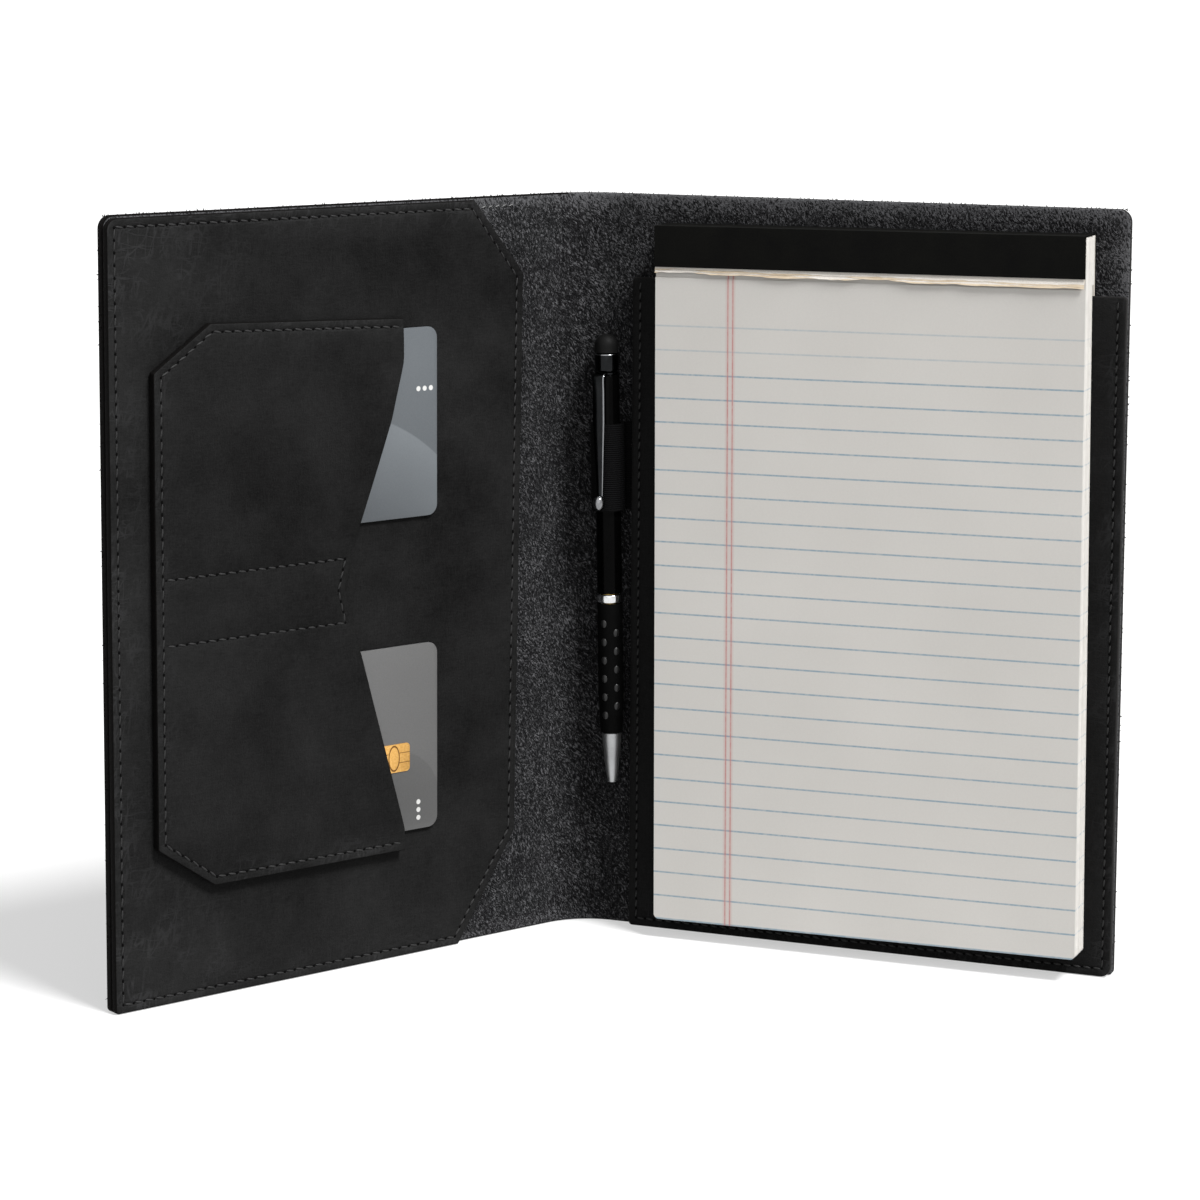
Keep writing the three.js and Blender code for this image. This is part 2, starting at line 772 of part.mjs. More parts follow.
function clip() {
  const top = barrelTop;
  const low = top - washerThickness;
  const inner = barrelRadius + clipStandOff;
  const outer = inner + clipThickness;
  const root = barrelRadius - clipThickness; // the arm's end on the washer
  const bulgeAt = low - clipBulgeBelow;
  const end = low - ballBelowWasher + ballOverlap;
  const side = outline([
    [root, low],
    [inner - clipThickness, low],
    [inner, low - clipShoulder, clipBend / 10],
    [inner + clipBulge, bulgeAt, clipBend],
    [inner, end],
    [outer, end],
    [outer + clipBulge, bulgeAt, clipBend],
    [outer, low - clipBevel[1], clipBevel[0]],
    [outer - clipBevel[0], top],
    [root, top],
  ]);
  const face = outline([
    [-clipEndWidth / 2, end],
    [clipEndWidth / 2, end],
    [clipTopWidth / 2, bulgeAt, clipBend],
    [clipTopWidth / 2, top],
    [-clipTopWidth / 2, top],
    [-clipTopWidth / 2, bulgeAt, clipBend],
  ]);
  const ballMiddle = loopOuter + ballClearance + ballRadius;
  const arm = common(bar(side, -clipTopWidth / 2, clipTopWidth / 2), plate(face, 0, outer + ballRadius));
  const rim = barrelRadius - washerInset;
  const washer = turned([[rim, low], [rim, top], [washerBore, top], [washerBore, low]], thinTurnedSteps);
  const ball = new THREE.SphereGeometry(ballRadius, ...ballSteps).scale(1, 1, ballLength / 2 / ballRadius);
  ball.translate(0, -ballMiddle, low - ballBelowWasher);
  return join(arm, washer, ball).rotateZ(THREE.MathUtils.degToRad(-clipTurnDegrees));
}

// The elastic goes round the barrel and its two ends lie together under the pad panel.
function penLoop() {
  const penAtLoop = penTipAlong - (loopBottom + loopHeight / 2) * Math.sin(penLean);
  const tailBack = loopOuter; // level with the back of the loop
  const tailFront = tailBack - tailThickness;
  const tailStart = padPanelLeft - penAtLoop - tailGap;
  const tailEnd = padPanelLeft - penAtLoop + tailLength;
  const toTail = Math.atan2(tailFront, tailStart);
  const touch = toTail - Math.acos(loopOuter / Math.hypot(tailStart, tailFront));
  const shape = new THREE.Shape();
  shape.moveTo(tailEnd, tailBack);
  shape.lineTo(0, tailBack);
  shape.absarc(0, 0, loopOuter, Math.PI / 2, touch + 2 * Math.PI, false);
  shape.lineTo(tailStart, tailFront);
  shape.lineTo(tailEnd, tailFront);
  const hole = new THREE.Path();
  hole.absarc(0, 0, loopRadius, 0, 2 * Math.PI, true);
  shape.holes.push(hole);
  return column(shape, loopBottom, loopHeight, loopSteps);
}

function mesh(name, geometry, color, roughness, metalness = 0) {
  const made = new THREE.Mesh(geometry, new THREE.MeshStandardMaterial({ color, roughness, metalness }));
  made.name = name;
  return made;
}

const leather = 0x222324;
const suede = 0x2f3031;
const waxedThread = 0x3c3d3e;
const chrome = 0xc8cacc;

rightCover.add(
  mesh("pad_panel", padPanel(), leather, 0.6),
  mesh("pad_panel_thread", padPanelThread(), waxedThread, 0.8),
  pad,
  pen,
);
pad.add(
  mesh("backing_board", backingBoard(), 0xa99b84, 0.9),
  mesh("paper_block", paperBlock(), 0xd9d6d2, 0.9),
  mesh("torn_stubs", tornStubs(), 0xd8ccb4, 0.9),
  mesh("binding_tape", bindingTape(), 0x101010, 0.5),
  mesh("top_sheet", topSheet(), 0xcfccc8, 0.9),
);
pen.add(
  mesh("nose_cone", noseCone(), 0xa8a9aa, 0.3, 1),
  mesh("pen_grip", grip(), 0x151515, 0.6),
  mesh("twist_sleeve", twistSleeve(), 0xb99a4e, 0.4, 1),
  mesh("centre_ring", centreRing(), chrome, 0.15, 1),
  mesh("pen_barrel", barrel(), 0x0a0a0a, 0.2),
  mesh("pen_collar", collar(), chrome, 0.15, 1),
  mesh("stylus_dome", stylusDome(), 0x0d0d0d, 0.7),
  mesh("pen_refill", refill(), 0xb8b8b4, 0.4),
  mesh("pen_clip", clip(), chrome, 0.15, 1),
  mesh("pen_loop", penLoop(), 0x161616, 0.9),
);
leftCover.add(
  mesh("lining", lining(), leather, 0.6),
  mesh("lining_thread", liningThread(), waxedThread, 0.8),
  mesh("card_pocket", cardPocket(), leather, 0.6),
  mesh("pocket_thread", pocketThread(), waxedThread, 0.8),
  mesh("divider_thread", dividerThread(), waxedThread, 0.8),
  mesh("upper_card", card(upperCardBottom), 0x6f777d, 0.45),
  mesh("lower_card", card(lowerCardBottom), 0x6b6b6b, 0.45),
  mesh("card_chip", cardChip(), 0xd9a441, 0.3, 1),
);

const notepadCase = new THREE.Group();
notepadCase.add(
  mesh("cover_right", coverRight(), suede, 0.9),
  mesh("spine", spine(), suede, 0.9),
  mesh("cover_left", coverLeft(), suede, 0.9),
  rightCover,
  leftCover,
);

// The origin is the middle of the footprint, on the surface that the case stands on.
const box = new THREE.Box3().setFromObject(notepadCase, true);
const middle = box.getCenter(new THREE.Vector3());
notepadCase.position.set(-middle.x, -middle.y, 0);

export default notepadCase;
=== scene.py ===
import math
import random

import bmesh
import bpy
from mathutils import Matrix, Vector, noise


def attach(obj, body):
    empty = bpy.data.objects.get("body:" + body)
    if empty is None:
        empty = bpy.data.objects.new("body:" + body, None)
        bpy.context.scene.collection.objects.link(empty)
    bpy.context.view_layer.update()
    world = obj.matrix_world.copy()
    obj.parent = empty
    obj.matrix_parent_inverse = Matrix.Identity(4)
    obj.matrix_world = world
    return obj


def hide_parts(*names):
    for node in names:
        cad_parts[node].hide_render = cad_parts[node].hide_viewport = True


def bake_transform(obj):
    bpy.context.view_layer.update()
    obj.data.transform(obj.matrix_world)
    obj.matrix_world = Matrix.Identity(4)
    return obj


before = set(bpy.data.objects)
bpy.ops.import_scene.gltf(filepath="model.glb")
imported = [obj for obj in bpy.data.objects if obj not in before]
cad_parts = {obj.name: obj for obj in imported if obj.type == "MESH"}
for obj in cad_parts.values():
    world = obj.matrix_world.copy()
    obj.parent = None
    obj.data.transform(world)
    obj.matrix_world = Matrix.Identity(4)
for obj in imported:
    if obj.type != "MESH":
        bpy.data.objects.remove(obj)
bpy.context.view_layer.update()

print("loaded", len(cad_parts), "nodes")

# Millimetres in each piece's own frame; a distance in front of the suede is along -Y there.
# The join and the folds are places along the hide, measured from the middle of its bend.
case = {
    "height": 217.3, "cover": 153.5, "hide": 2.4, "bendX": 9.225, "bendY": 40.504,
    "lean": 31.0, "bendRadius": 17.911, "joinAt": -4.2, "rightFold": 5.491, "leftFold": -13.891,
}


def turnAbout(axis, degrees):
    return Matrix.Rotation(math.radians(degrees), 4, axis)


def moved(x, y, z):
    return Matrix.Translation((x, y, z))


toMetres = Matrix.Scale(0.001, 4)
rightCover = toMetres @ moved(case["bendX"], case["bendY"], 0) @ turnAbout("Z", -case["lean"])
leftCover = toMetres @ moved(-case["bendX"], case["bendY"], 0) @ turnAbout("Z", case["lean"])
padPlace = rightCover @ moved(18.7, 0, 5.6) @ turnAbout("Y", -0.55)
penPlace = rightCover @ moved(2.4, -5.25, 43.7) @ turnAbout("Y", -1.2)

# A piece's seat is the place of its own frame and the body that it rides on.
onLeft = (leftCover, "left_cover")
onRight = (rightCover, "right_cover")
onPad = (padPlace, "pad")
onPen = (penPlace, "pen")
onPenLower = (penPlace, "pen_lower")


def tone(red, green=None, blue=None):  # a colour as it looks on screen, 0 to 255
    green = red if green is None else green
    blue = red if blue is None else blue
    shares = [c / 255 for c in (red, green, blue)]
    return tuple(s / 12.92 if s < 0.04045 else ((s + 0.055) / 1.055) ** 2.4 for s in shares) + (1.0,)


class Wire:  # a node's output, so that shader maths reads as plain expressions
    def __init__(self, paint, socket):
        self.paint = paint
        self.socket = socket

    def __add__(self, other):
        return self.paint.maths("ADD", self, other)

    def __sub__(self, other):
        return self.paint.maths("SUBTRACT", self, other)

    def __rsub__(self, other):
        return self.paint.maths("SUBTRACT", other, self)

    def __mul__(self, other):
        return self.paint.maths("MULTIPLY", self, other)

    def __truediv__(self, other):
        return self.paint.maths("DIVIDE", self, other)

    def __rtruediv__(self, other):
        return self.paint.maths("DIVIDE", other, self)

    __radd__ = __add__
    __rmul__ = __mul__


class Paint:  # one procedural finish
    def __init__(self, name, **constants):
        self.material = bpy.data.materials.new(name)
        self.material.use_nodes = True
        self.tree = self.material.node_tree
        self.shader = self.tree.nodes["Principled BSDF"]
        for label, value in constants.items():
            self.shader.inputs[label.replace("_", " ")].default_value = value

    def node(self, kind, settings=None, inputs=None, output=0):
        made = self.tree.nodes.new(kind)
        for label, value in (settings or {}).items():
            if label == "stops":
                self.setStops(made.color_ramp, value)
            else:
                setattr(made, label, value)
        for place, value in (inputs or {}).items():
            self.feed(made.inputs[place], value)
        return Wire(self, made.outputs[output])

    def setStops(self, ramp, stops):
        while len(ramp.elements) < len(stops):
            ramp.elements.new(0.5)
        for element, (place, colour) in zip(ramp.elements, stops):
            element.position = place
            element.color = colour

    def feed(self, socket, value):
        if isinstance(value, Wire):
            self.tree.links.new(value.socket, socket)
        else:
            socket.default_value = value

    def maths(self, operation, a, b=0.0):
        return self.node("ShaderNodeMath", {"operation": operation}, {0: a, 1: b})

    def place(self, extent, turn=(0, 0, 0), shift=(0, 0, 0)):
        # the place on the object, turned and then measured in extents of so many millimetres
        return self.node("ShaderNodeMapping", {"vector_type": "TEXTURE"}, {
            "Vector": self.node("ShaderNodeTexCoord", output="Object"),
            "Scale": [e / 1000 for e in extent], "Rotation": [math.radians(t) for t in turn],
            "Location": [s / 1000 for s in shift]})

    def noise(self, size, detail=3.0, rough=0.55, stretch=(1, 1, 1), turn=(0, 0, 0), shift=(0, 0, 0),
              swirl=0.0):  # size is the width of its patches in millimetres
        return self.node("ShaderNodeTexNoise", None, {
            "Vector": self.place([size * s for s in stretch], turn, shift), "Scale": 1.0, "Detail": detail,
            "Roughness": rough, "Distortion": swirl})

    def cells(self, size, smooth):
        return self.node("ShaderNodeTexVoronoi", {"feature": "SMOOTH_F1"}, {
            "Vector": self.place([size] * 3), "Scale": 1.0, "Smoothness": smooth})

    def flatPlace(self):  # across and up on the piece's UV map
        across = self.node("ShaderNodeSeparateXYZ", None, {0: self.node("ShaderNodeTexCoord", output="UV")})
        return across, Wire(self, across.socket.node.outputs[1])

    def attribute(self, name):
        return self.node("ShaderNodeAttribute", {"attribute_name": name}, output=2)

    def span(self, value, low, high, toLow=0.0, toHigh=1.0):
        return self.node("ShaderNodeMapRange", None, {0: value, 1: low, 2: high, 3: toLow, 4: toHigh})

    def blendOf(self, factor, a, b):
        return self.node("ShaderNodeMix", {"data_type": "RGBA"}, {0: factor, 6: a, 7: b}, 2)

    def finish(self, **sockets):
        for label, value in sockets.items():
            self.feed(self.shader.inputs[label.replace("_", " ")], value)
        return self.material

    def surface(self, colour, rough, height, depth):  # the depth of its bumps is in millimetres
        bumps = self.node("ShaderNodeBump", None, {"Height": height, "Distance": depth / 1000})
        return self.finish(Base_Color=colour, Roughness=rough, Normal=bumps)


class Sky(Paint):  # the same, for the world
    def __init__(self, name):
        self.material = bpy.data.worlds.new(name)
        self.material.use_nodes = True
        self.tree = self.material.node_tree
        self.shader = self.tree.nodes["Background"]


def leatherPaint(name, dark, pale, roughness, shine=0.05):
    paint = Paint(name, Specular_IOR_Level=shine)
    pores = paint.cells(0.45, 0.4)
    fine = paint.noise(0.5, 3.0, 0.7)
    hairs = paint.noise(0.42, 2.0, 0.6, stretch=(6, 6, 1))
    strands = paint.noise(0.42, 2.0, 0.6, stretch=(1, 1, 6), shift=(4, 2, 9))
    clouds = paint.noise(26, 4.0, 0.6)
    worn = paint.attribute("worn")
    creases = None
    rows = ((3.4, (5, 5, 1), 5, 0), (3.8, (1, 1, 5), 9, 31), (6, (1, 1, 5), 34, 57))
    for size, stretch, turn, shift in rows:  # thin lines where a drawn-out noise passes its middle
        folds = paint.noise(size, 2.0, 0.6, stretch, (0, turn, 0), (shift, 0, shift), 0.12)
        line = paint.span(paint.maths("ABSOLUTE", folds - 0.5), 0.0, 0.03, 1.0, 0.0)
        creases = line if creases is None else paint.maths("MAXIMUM", creases, line)
    patches = paint.span(paint.noise(9, 2.0, 0.5, shift=(7, 0, 3)), 0.4, 0.6)
    mark = creases * worn * patches
    shade = clouds * 0.9 + fine * 0.45 + hairs * 0.35 + strands * 0.3 + pores * 0.15 + worn * 0.14
    colour = paint.blendOf(paint.span(shade, 0.75, 1.4), dark, pale)
    colour = paint.blendOf(mark * 0.42, colour, tone(60, 60, 61))
    rough = paint.span(clouds + fine * 0.4, 0.45, 0.95, roughness - 0.08, roughness + 0.1)
    height = pores * 0.5 + fine * 0.6 + hairs * 0.3 + strands * 0.3 + mark * 0.9
    return paint.surface(colour, rough, height, 0.08)


def suedePaint(name):
    paint = Paint(name, Specular_IOR_Level=0.05, Sheen_Weight=0.08, Sheen_Roughness=0.6)
    paint.shader.inputs["Sheen Tint"].default_value = tone(170, 172, 176)
    across = paint.noise(0.46, 2.0, 0.65, stretch=(2.6, 1, 1), turn=(0, 42, 0), swirl=0.8)
    along = paint.noise(0.46, 2.0, 0.65, stretch=(1, 1, 2.6), turn=(0, -24, 0), shift=(3, 7, 3), swirl=0.8)
    fluff = paint.noise(0.3, 2.0, 0.6)
    patches = paint.span(paint.noise(8, 3.0, 0.6), 0.44, 0.56)
    brushed = paint.noise(11, 4.0, 0.65)
    worn = paint.attribute("worn")
    nap = across * patches + along * (1 - patches) + (fluff - 0.5) * 0.3
    colour = paint.node("ShaderNodeValToRGB", {"stops": [
        (0.36, tone(3)), (0.47, tone(17, 17, 18)), (0.56, tone(43, 43, 44)), (0.67, tone(90, 90, 92))]},
        {0: nap + (brushed - 0.5) * 0.14 + worn * 0.15})
    rough = paint.span(nap, 0.3, 0.7, 0.85, 1.0)
    return paint.surface(colour, rough, nap, 0.3)


def edgePaint(name, dark, pale, shine):  # a cut edge, dyed dark, with its fibres showing
    paint = Paint(name, Specular_IOR_Level=shine)
    fibres = paint.noise(0.4, 3.0, 0.7, stretch=(1, 1, 2))
    colour = paint.blendOf(paint.span(fibres, 0.4, 0.7), dark, pale)
    rough = paint.span(fibres, 0.3, 0.7, 0.75, 0.95)
    return paint.surface(colour, rough, fibres, 0.12)


def threadPaint(name, dark, pale):
    paint = Paint(name, Specular_IOR_Level=0.3)
    twist = paint.noise(0.22, 2.0, 0.5, stretch=(1, 1, 1.6), turn=(0, 40, 0))
    colour = paint.blendOf(paint.span(twist, 0.35, 0.65), dark, pale)
    rough = paint.span(twist, 0.3, 0.7, 0.55, 0.75)
    return paint.surface(colour, rough, twist, 0.05)


# painted shade: a near-black finish that stands in for the shade in stitch holes and round the grip's bumps
def holePaint(name):
    paint = Paint(name, Specular_IOR_Level=0.05)
    grain = paint.noise(0.3, 2.0)
    colour = paint.blendOf(grain, tone(2), tone(9))
    return paint.finish(Base_Color=colour, Roughness=paint.span(grain, 0, 1, 0.9, 1.0))


def elasticPaint(name):
    paint = Paint(name, Specular_IOR_Level=0.05)
    ribs = paint.node("ShaderNodeTexWave", {"wave_type": "BANDS", "bands_direction": "Z"}, {
        "Vector": paint.place((1, 1, 1)), "Scale": 0.52, "Distortion": 0.25})
    yarn = paint.noise(0.25, 2.0, 0.6, stretch=(2.5, 2.5, 1))
    colour = paint.blendOf(paint.span(ribs * 0.6 + yarn * 0.5, 0.25, 0.9), tone(4), tone(15, 15, 16))
    rough = paint.span(yarn, 0.3, 0.7, 0.8, 0.95)
    return paint.surface(colour, rough, ribs + yarn * 0.4, 0.12)


def paperPaint(name):  # its UV map is in millimetres from the pad's lower left corner
    ruling = {"rule": 160.8, "halfPitch": 3.49, "faintFrom": (161.5, 163.0), "last": (176.5, 176.9),
              "margin": 23.05, "halfMargin": 0.75}
    paint = Paint(name, Specular_IOR_Level=0.2)
    pulp = paint.noise(0.5, 3.0, 0.6)
    clouds = paint.noise(40, 2.0, 0.5)
    colour = paint.blendOf(paint.span(pulp * 0.4 + clouds * 0.7, 0.35, 0.8), tone(211, 208, 203),
                           tone(220, 217, 212))
    rough = paint.span(pulp, 0.3, 0.7, 0.82, 0.92)
    across, up = paint.flatPlace()
    apart = paint.maths("PINGPONG", up - ruling["rule"] + 200 * ruling["halfPitch"], ruling["halfPitch"])
    below = paint.span(up, *ruling["faintFrom"], 1.0, 0.45) * paint.span(up, *ruling["last"], 1.0, 0.0)
    ink = paint.noise(1.4, 2.0, 0.6)
    blue = paint.span(apart, 0.14, 0.32, 0.9, 0.0) * below * paint.span(ink, 0.3, 0.6, 0.6, 1.0)
    fromMiddle = paint.maths("ABSOLUTE", across - ruling["margin"])
    fromLines = paint.maths("ABSOLUTE", fromMiddle - ruling["halfMargin"])
    red = paint.span(fromLines, 0.13, 0.28, 0.85, 0.0) * paint.span(ink, 0.3, 0.6, 0.7, 1.0)
    red = paint.maths("MAXIMUM", red, paint.span(fromLines, 0.25, 0.95, 0.26, 0.0))
    colour = paint.blendOf(blue, colour, tone(136, 162, 178))
    colour = paint.blendOf(red, colour, tone(196, 128, 124))
    return paint.surface(colour, rough, pulp, 0.015)


def plainNoisePaint(name, dark, pale, size, roughness, depth=0.03, stretch=(1, 1, 1), **constants):
    paint = Paint(name, **constants)
    grain = paint.noise(size, 3.0, 0.6, stretch=stretch)
    clouds = paint.noise(size * 14, 2.0, 0.5)
    colour = paint.blendOf(paint.span(grain * 0.6 + clouds * 0.5, 0.35, 0.75), dark, pale)
    rough = paint.span(grain * 0.5 + clouds * 0.5, 0.3, 0.7, roughness - 0.05, roughness + 0.06)
    return paint.surface(colour, rough, grain, depth)


def cardPaint(name, dots, dark, pale, disc):  # its UV map is the place on the cover in millimetres
    paint = Paint(name, Specular_IOR_Level=0.4, Coat_Weight=0.2, Coat_Roughness=0.3)
    across, up = paint.flatPlace()

    def inside(x, z, radius):
        away = (across - x) * (across - x) + (up - z) * (up - z)
        return radius - paint.maths("SQRT", away)

    depth = inside(*disc["circle"])
    shade = paint.span(depth, -0.2, 0.2) * paint.span(depth, 0.0, disc["fade"], disc["edge"], disc["deep"])
    speck = paint.noise(0.35, 2.0, 0.7)
    clouds = paint.noise(26, 1.0, 0.4)
    colour = paint.blendOf(paint.span(speck * 0.45 + clouds * 0.25 + shade + 0.2, 0.0, 1.1), dark, pale)
    for x, z in dots:
        colour = paint.blendOf(paint.span(inside(x, z, 0.72), -0.06, 0.06), colour, tone(206, 206, 204))
    rough = paint.span(speck, 0.3, 0.7, 0.34, 0.46)
    return paint.surface(colour, rough, speck, 0.006)


def chipPaint(name):  # its UV map is in millimetres from the chip's middle
    paint = Paint(name, Metallic=0.75)
    across, up = paint.flatPlace()
    oval = paint.maths("SQRT", (across * across) / 3.4 + (up * up) / 12.5)
    ring = paint.span(paint.maths("ABSOLUTE", oval - 1.0), 0.04, 0.11, 1.0, 0.0)
    outside = paint.span(oval, 0.98, 1.02)
    fromRows = paint.maths("ABSOLUTE", paint.maths("ABSOLUTE", up) - 1.4)
    rows = paint.span(fromRows, 0.05, 0.13, 1.0, 0.0) * outside
    lines = paint.maths("MAXIMUM", ring, rows)
    wear = paint.noise(0.6, 3.0, 0.6)
    gold = paint.blendOf(paint.span(wear, 0.35, 0.65), tone(214, 160, 84), tone(232, 184, 108))
    colour = paint.blendOf(lines, gold, tone(110, 72, 30))
    return paint.surface(colour, paint.span(wear, 0.3, 0.7, 0.3, 0.42), 1 - lines, 0.04)


def metalPaint(name, dark, pale, roughness, brushed=(1, 1, 6), depth=0.004):
    paint = Paint(name, Metallic=1.0)
    scratches = paint.noise(0.18, 3.0, 0.6, stretch=brushed)
    clouds = paint.noise(9, 2.0, 0.5)
    colour = paint.blendOf(paint.span(scratches * 0.5 + clouds * 0.5, 0.35, 0.65), dark, pale)
    rough = paint.span(scratches * 0.4 + clouds * 0.6, 0.3, 0.7, roughness - 0.03, roughness + 0.05)
    return paint.surface(colour, rough, scratches, depth)


suede = suedePaint("suede")
grain = leatherPaint("hideGrain", tone(15, 15, 16), tone(42, 42, 43), 0.5, 0.15)
cutEdge = edgePaint("cutEdge", tone(5), tone(25, 23, 22), 0.2)
# painted shade: a darker copy of the cut edge, for the rims of the left cover's hide, lining and pocket,
# which lie in shade from the key light
shadedEdge = edgePaint("shadedEdge", tone(3), tone(15, 13, 12), 0.06)
liningLeather = leatherPaint("liningLeather", tone(9), tone(36), 0.62, 0.04)
pocketLeather = leatherPaint("pocketLeather", tone(9), tone(35), 0.6, 0.04)
panelLeather = leatherPaint("panelLeather", tone(7), tone(27), 0.64)
thread = threadPaint("waxedThread", tone(18), tone(38))
darkThread = threadPaint("panelThread", tone(10), tone(30))
paleThread = threadPaint("wornThread", tone(76), tone(128))
hole = holePaint("stitchHoleShade")
elastic = elasticPaint("elastic")
ruledPaper = paperPaint("ruledPaper")
plainPaper = plainNoisePaint("sheetEdges", tone(206, 203, 198), tone(226, 223, 218), 0.16, 0.88, 0.04,
                             (9, 9, 40))
boardFinish = plainNoisePaint("greyBoard", tone(172, 167, 158), tone(196, 191, 182), 0.7, 0.9)
stubWhite = plainNoisePaint("stubWhite", tone(214, 208, 199), tone(236, 231, 223), 0.4, 0.9)
stubCream = plainNoisePaint("stubCream", tone(192, 172, 144), tone(222, 208, 186), 0.4, 0.9,
                            stretch=(5, 5, 1))
tapeFinish = plainNoisePaint("bindingTape", tone(6), tone(14, 14, 12), 0.5, 0.5, 0.03,
                             Specular_IOR_Level=0.04)
upperPlastic = cardPaint("upperCard", [(-51.2, 164.2), (-49.0, 164.2), (-46.8, 164.2)],
                         tone(62, 66, 70), tone(108, 113, 117),
                         {"circle": (-82.8, 101.8, 57.5), "fade": 26, "edge": 0.55, "deep": -0.2})
lowerPlastic = cardPaint("lowerCard", [(-51.4, 40.2), (-51.4, 42.5), (-51.4, 44.8)], tone(62), tone(110),
                         {"circle": (-60.0, 44.0, 16.5), "fade": 12, "edge": -0.16, "deep": -0.26})
chipGold = chipPaint("chipGold")
# painted reflection: the chrome's base is darkened to stand in for the dark surroundings that the collar
# and clip reflect
chrome = metalPaint("chrome", tone(24, 25, 26), tone(36, 37, 38), 0.14)
# painted highlight: a brighter copy of the chrome for the clip's right edge, its ball and the collar's top
# rim
highlightChrome = metalPaint("highlightChrome", tone(112, 113, 115), tone(134, 135, 137), 0.16)
ringChrome = metalPaint("ringChrome", tone(196, 197, 198), tone(212, 213, 214), 0.14)
coneSilver = metalPaint("coneSilver", tone(148, 149, 150), tone(170, 171, 172), 0.42, (6, 6, 1), 0.008)
brass = metalPaint("sleeveBrass", tone(168, 138, 74), tone(194, 164, 98), 0.3)
steel = metalPaint("refillSteel", tone(160, 160, 158), tone(186, 186, 184), 0.28)
penBlack = plainNoisePaint("penLacquer", tone(2), tone(5), 2.0, 0.16, 0.002, Specular_IOR_Level=0.03)
domeRubber = plainNoisePaint("domeRubber", tone(8), tone(17), 0.3, 0.6, 0.02, Specular_IOR_Level=0.1)
gripRubber = plainNoisePaint("gripRubber", tone(3), tone(8), 0.3, 0.62, 0.02, Specular_IOR_Level=0.03)
bumpRubber = plainNoisePaint("bumpRubber", tone(13), tone(27), 0.25, 0.36, 0.02, Specular_IOR_Level=0.35)
print("finishes made")


def bevelled(bm, edges, offset, steps):
    if edges:
        bmesh.ops.bevel(bm, geom=edges, offset=offset, offset_type="OFFSET", segments=steps, profile=0.5,
                        affect="EDGES", material=-1, clamp_overlap=False)


def thicken(bm, vector):
    grown = bmesh.ops.extrude_face_region(bm, geom=bm.faces[:], use_keep_orig=True)
    ends = [g for g in grown["geom"] if isinstance(g, bmesh.types.BMVert)]
    bmesh.ops.translate(bm, vec=vector, verts=ends)
    bmesh.ops.recalc_face_normals(bm, faces=bm.faces[:])


def slab(corners, back, front, rim, rimSteps=3, plain=None):
    # a board of [x, z, radius] corners between two distances in front of the suede
    bm = bmesh.new()
    bm.faces.new([bm.verts.new((corner[0], -back, corner[1])) for corner in corners])
    thicken(bm, (0, back - front, 0))
    for i, corner in enumerate(corners):
        if len(corner) < 3:
            continue
        here = Vector(corner[:2])
        turn = (here - Vector(corners[i - 1][:2])).angle(Vector(corners[(i + 1) % len(corners)][:2]) - here)
        edges = [e for e in bm.edges if all((v.co.xz - here).length < 1e-3 for v in e.verts)]
        bevelled(bm, edges, corner[2] * math.tan(turn / 2), max(3, round(math.degrees(turn) / 11)))
    if rim:
        rimEdges = [e for e in bm.edges
                    if abs(e.verts[0].co.y - e.verts[1].co.y) < 1e-5 and e.calc_face_angle(0) > 1
                    and not (plain and plain((e.verts[0].co + e.verts[1].co) / 2))]
        bevelled(bm, rimEdges, rim, rimSteps)
    return bm


def rectangle(left, right, low, high, corner):
    return [(left, low, corner), (right, low, corner), (right, high, corner), (left, high, corner)]


def bar(points, left, right):  # a side view of [distance in front, z], from left to right
    bm = bmesh.new()
    bm.faces.new([bm.verts.new((left, -d, z)) for d, z in points])
    thicken(bm, (right - left, 0, 0))
    return bm


def cutBy(bm, point, normal):
    bmesh.ops.bisect_plane(bm, geom=bm.verts[:] + bm.edges[:] + bm.faces[:], dist=1e-4,
                           plane_co=point, plane_no=normal)


def gridCuts(bm, xs=(), zs=()):
    for x in xs:
        cutBy(bm, (x, 0, 0), (1, 0, 0))
    for z in zs:
        cutBy(bm, (0, 0, z), (0, 0, 1))


def steps(low, high, pitch):
    count = max(1, round((high - low) / pitch))
    return [low + (high - low) * (i + 0.5) / count for i in range(count)]


def inset(line, distance, closed=False):  # a line of (x, z) points moved to its left
    points = [Vector(p[:2]) for p in line]
    made = []
    for i, point in enumerate(points):
        ways = []
        if i or closed:
            ways.append(point - points[i - 1])
        if i + 1 < len(points) or closed:
            ways.append(points[(i + 1) % len(points)] - point)
        sides = [Vector((-way.y, way.x)).normalized() for way in ways]
        across = sum(sides, Vector((0, 0))).normalized()
        made.append(point + across * (distance / across.dot(sides[0])))
    return made


def pairs(line, closed=False):
    return list(zip(line, line[1:] + line[:1])) if closed else list(zip(line, line[1:]))


def fromLine(point, a, b):
    way = b - a
    share = min(1, max(0, (point - a).dot(way) / way.length_squared))
    return (a + way * share - point).length


def sink(bm, front, seams, width=0.75, depth=0.28):
    # the valley that a row of stitches pulls into the leather
    for a, b in seams:
        side = (b - a).orthogonal().normalized()
        for shift in (-width, -width * 0.45, 0, width * 0.45, width):
            spot = a + side * shift
            cutBy(bm, (spot.x, 0, spot.y), (side.x, 0, side.y))
    for vert in bm.verts:
        if vert.co.y < -front + 0.02:
            near = min(fromLine(vert.co.xz, a, b) for a, b in seams)
            if near < width:
                vert.co.y += depth * (0.5 + 0.5 * math.cos(math.pi * near / width))


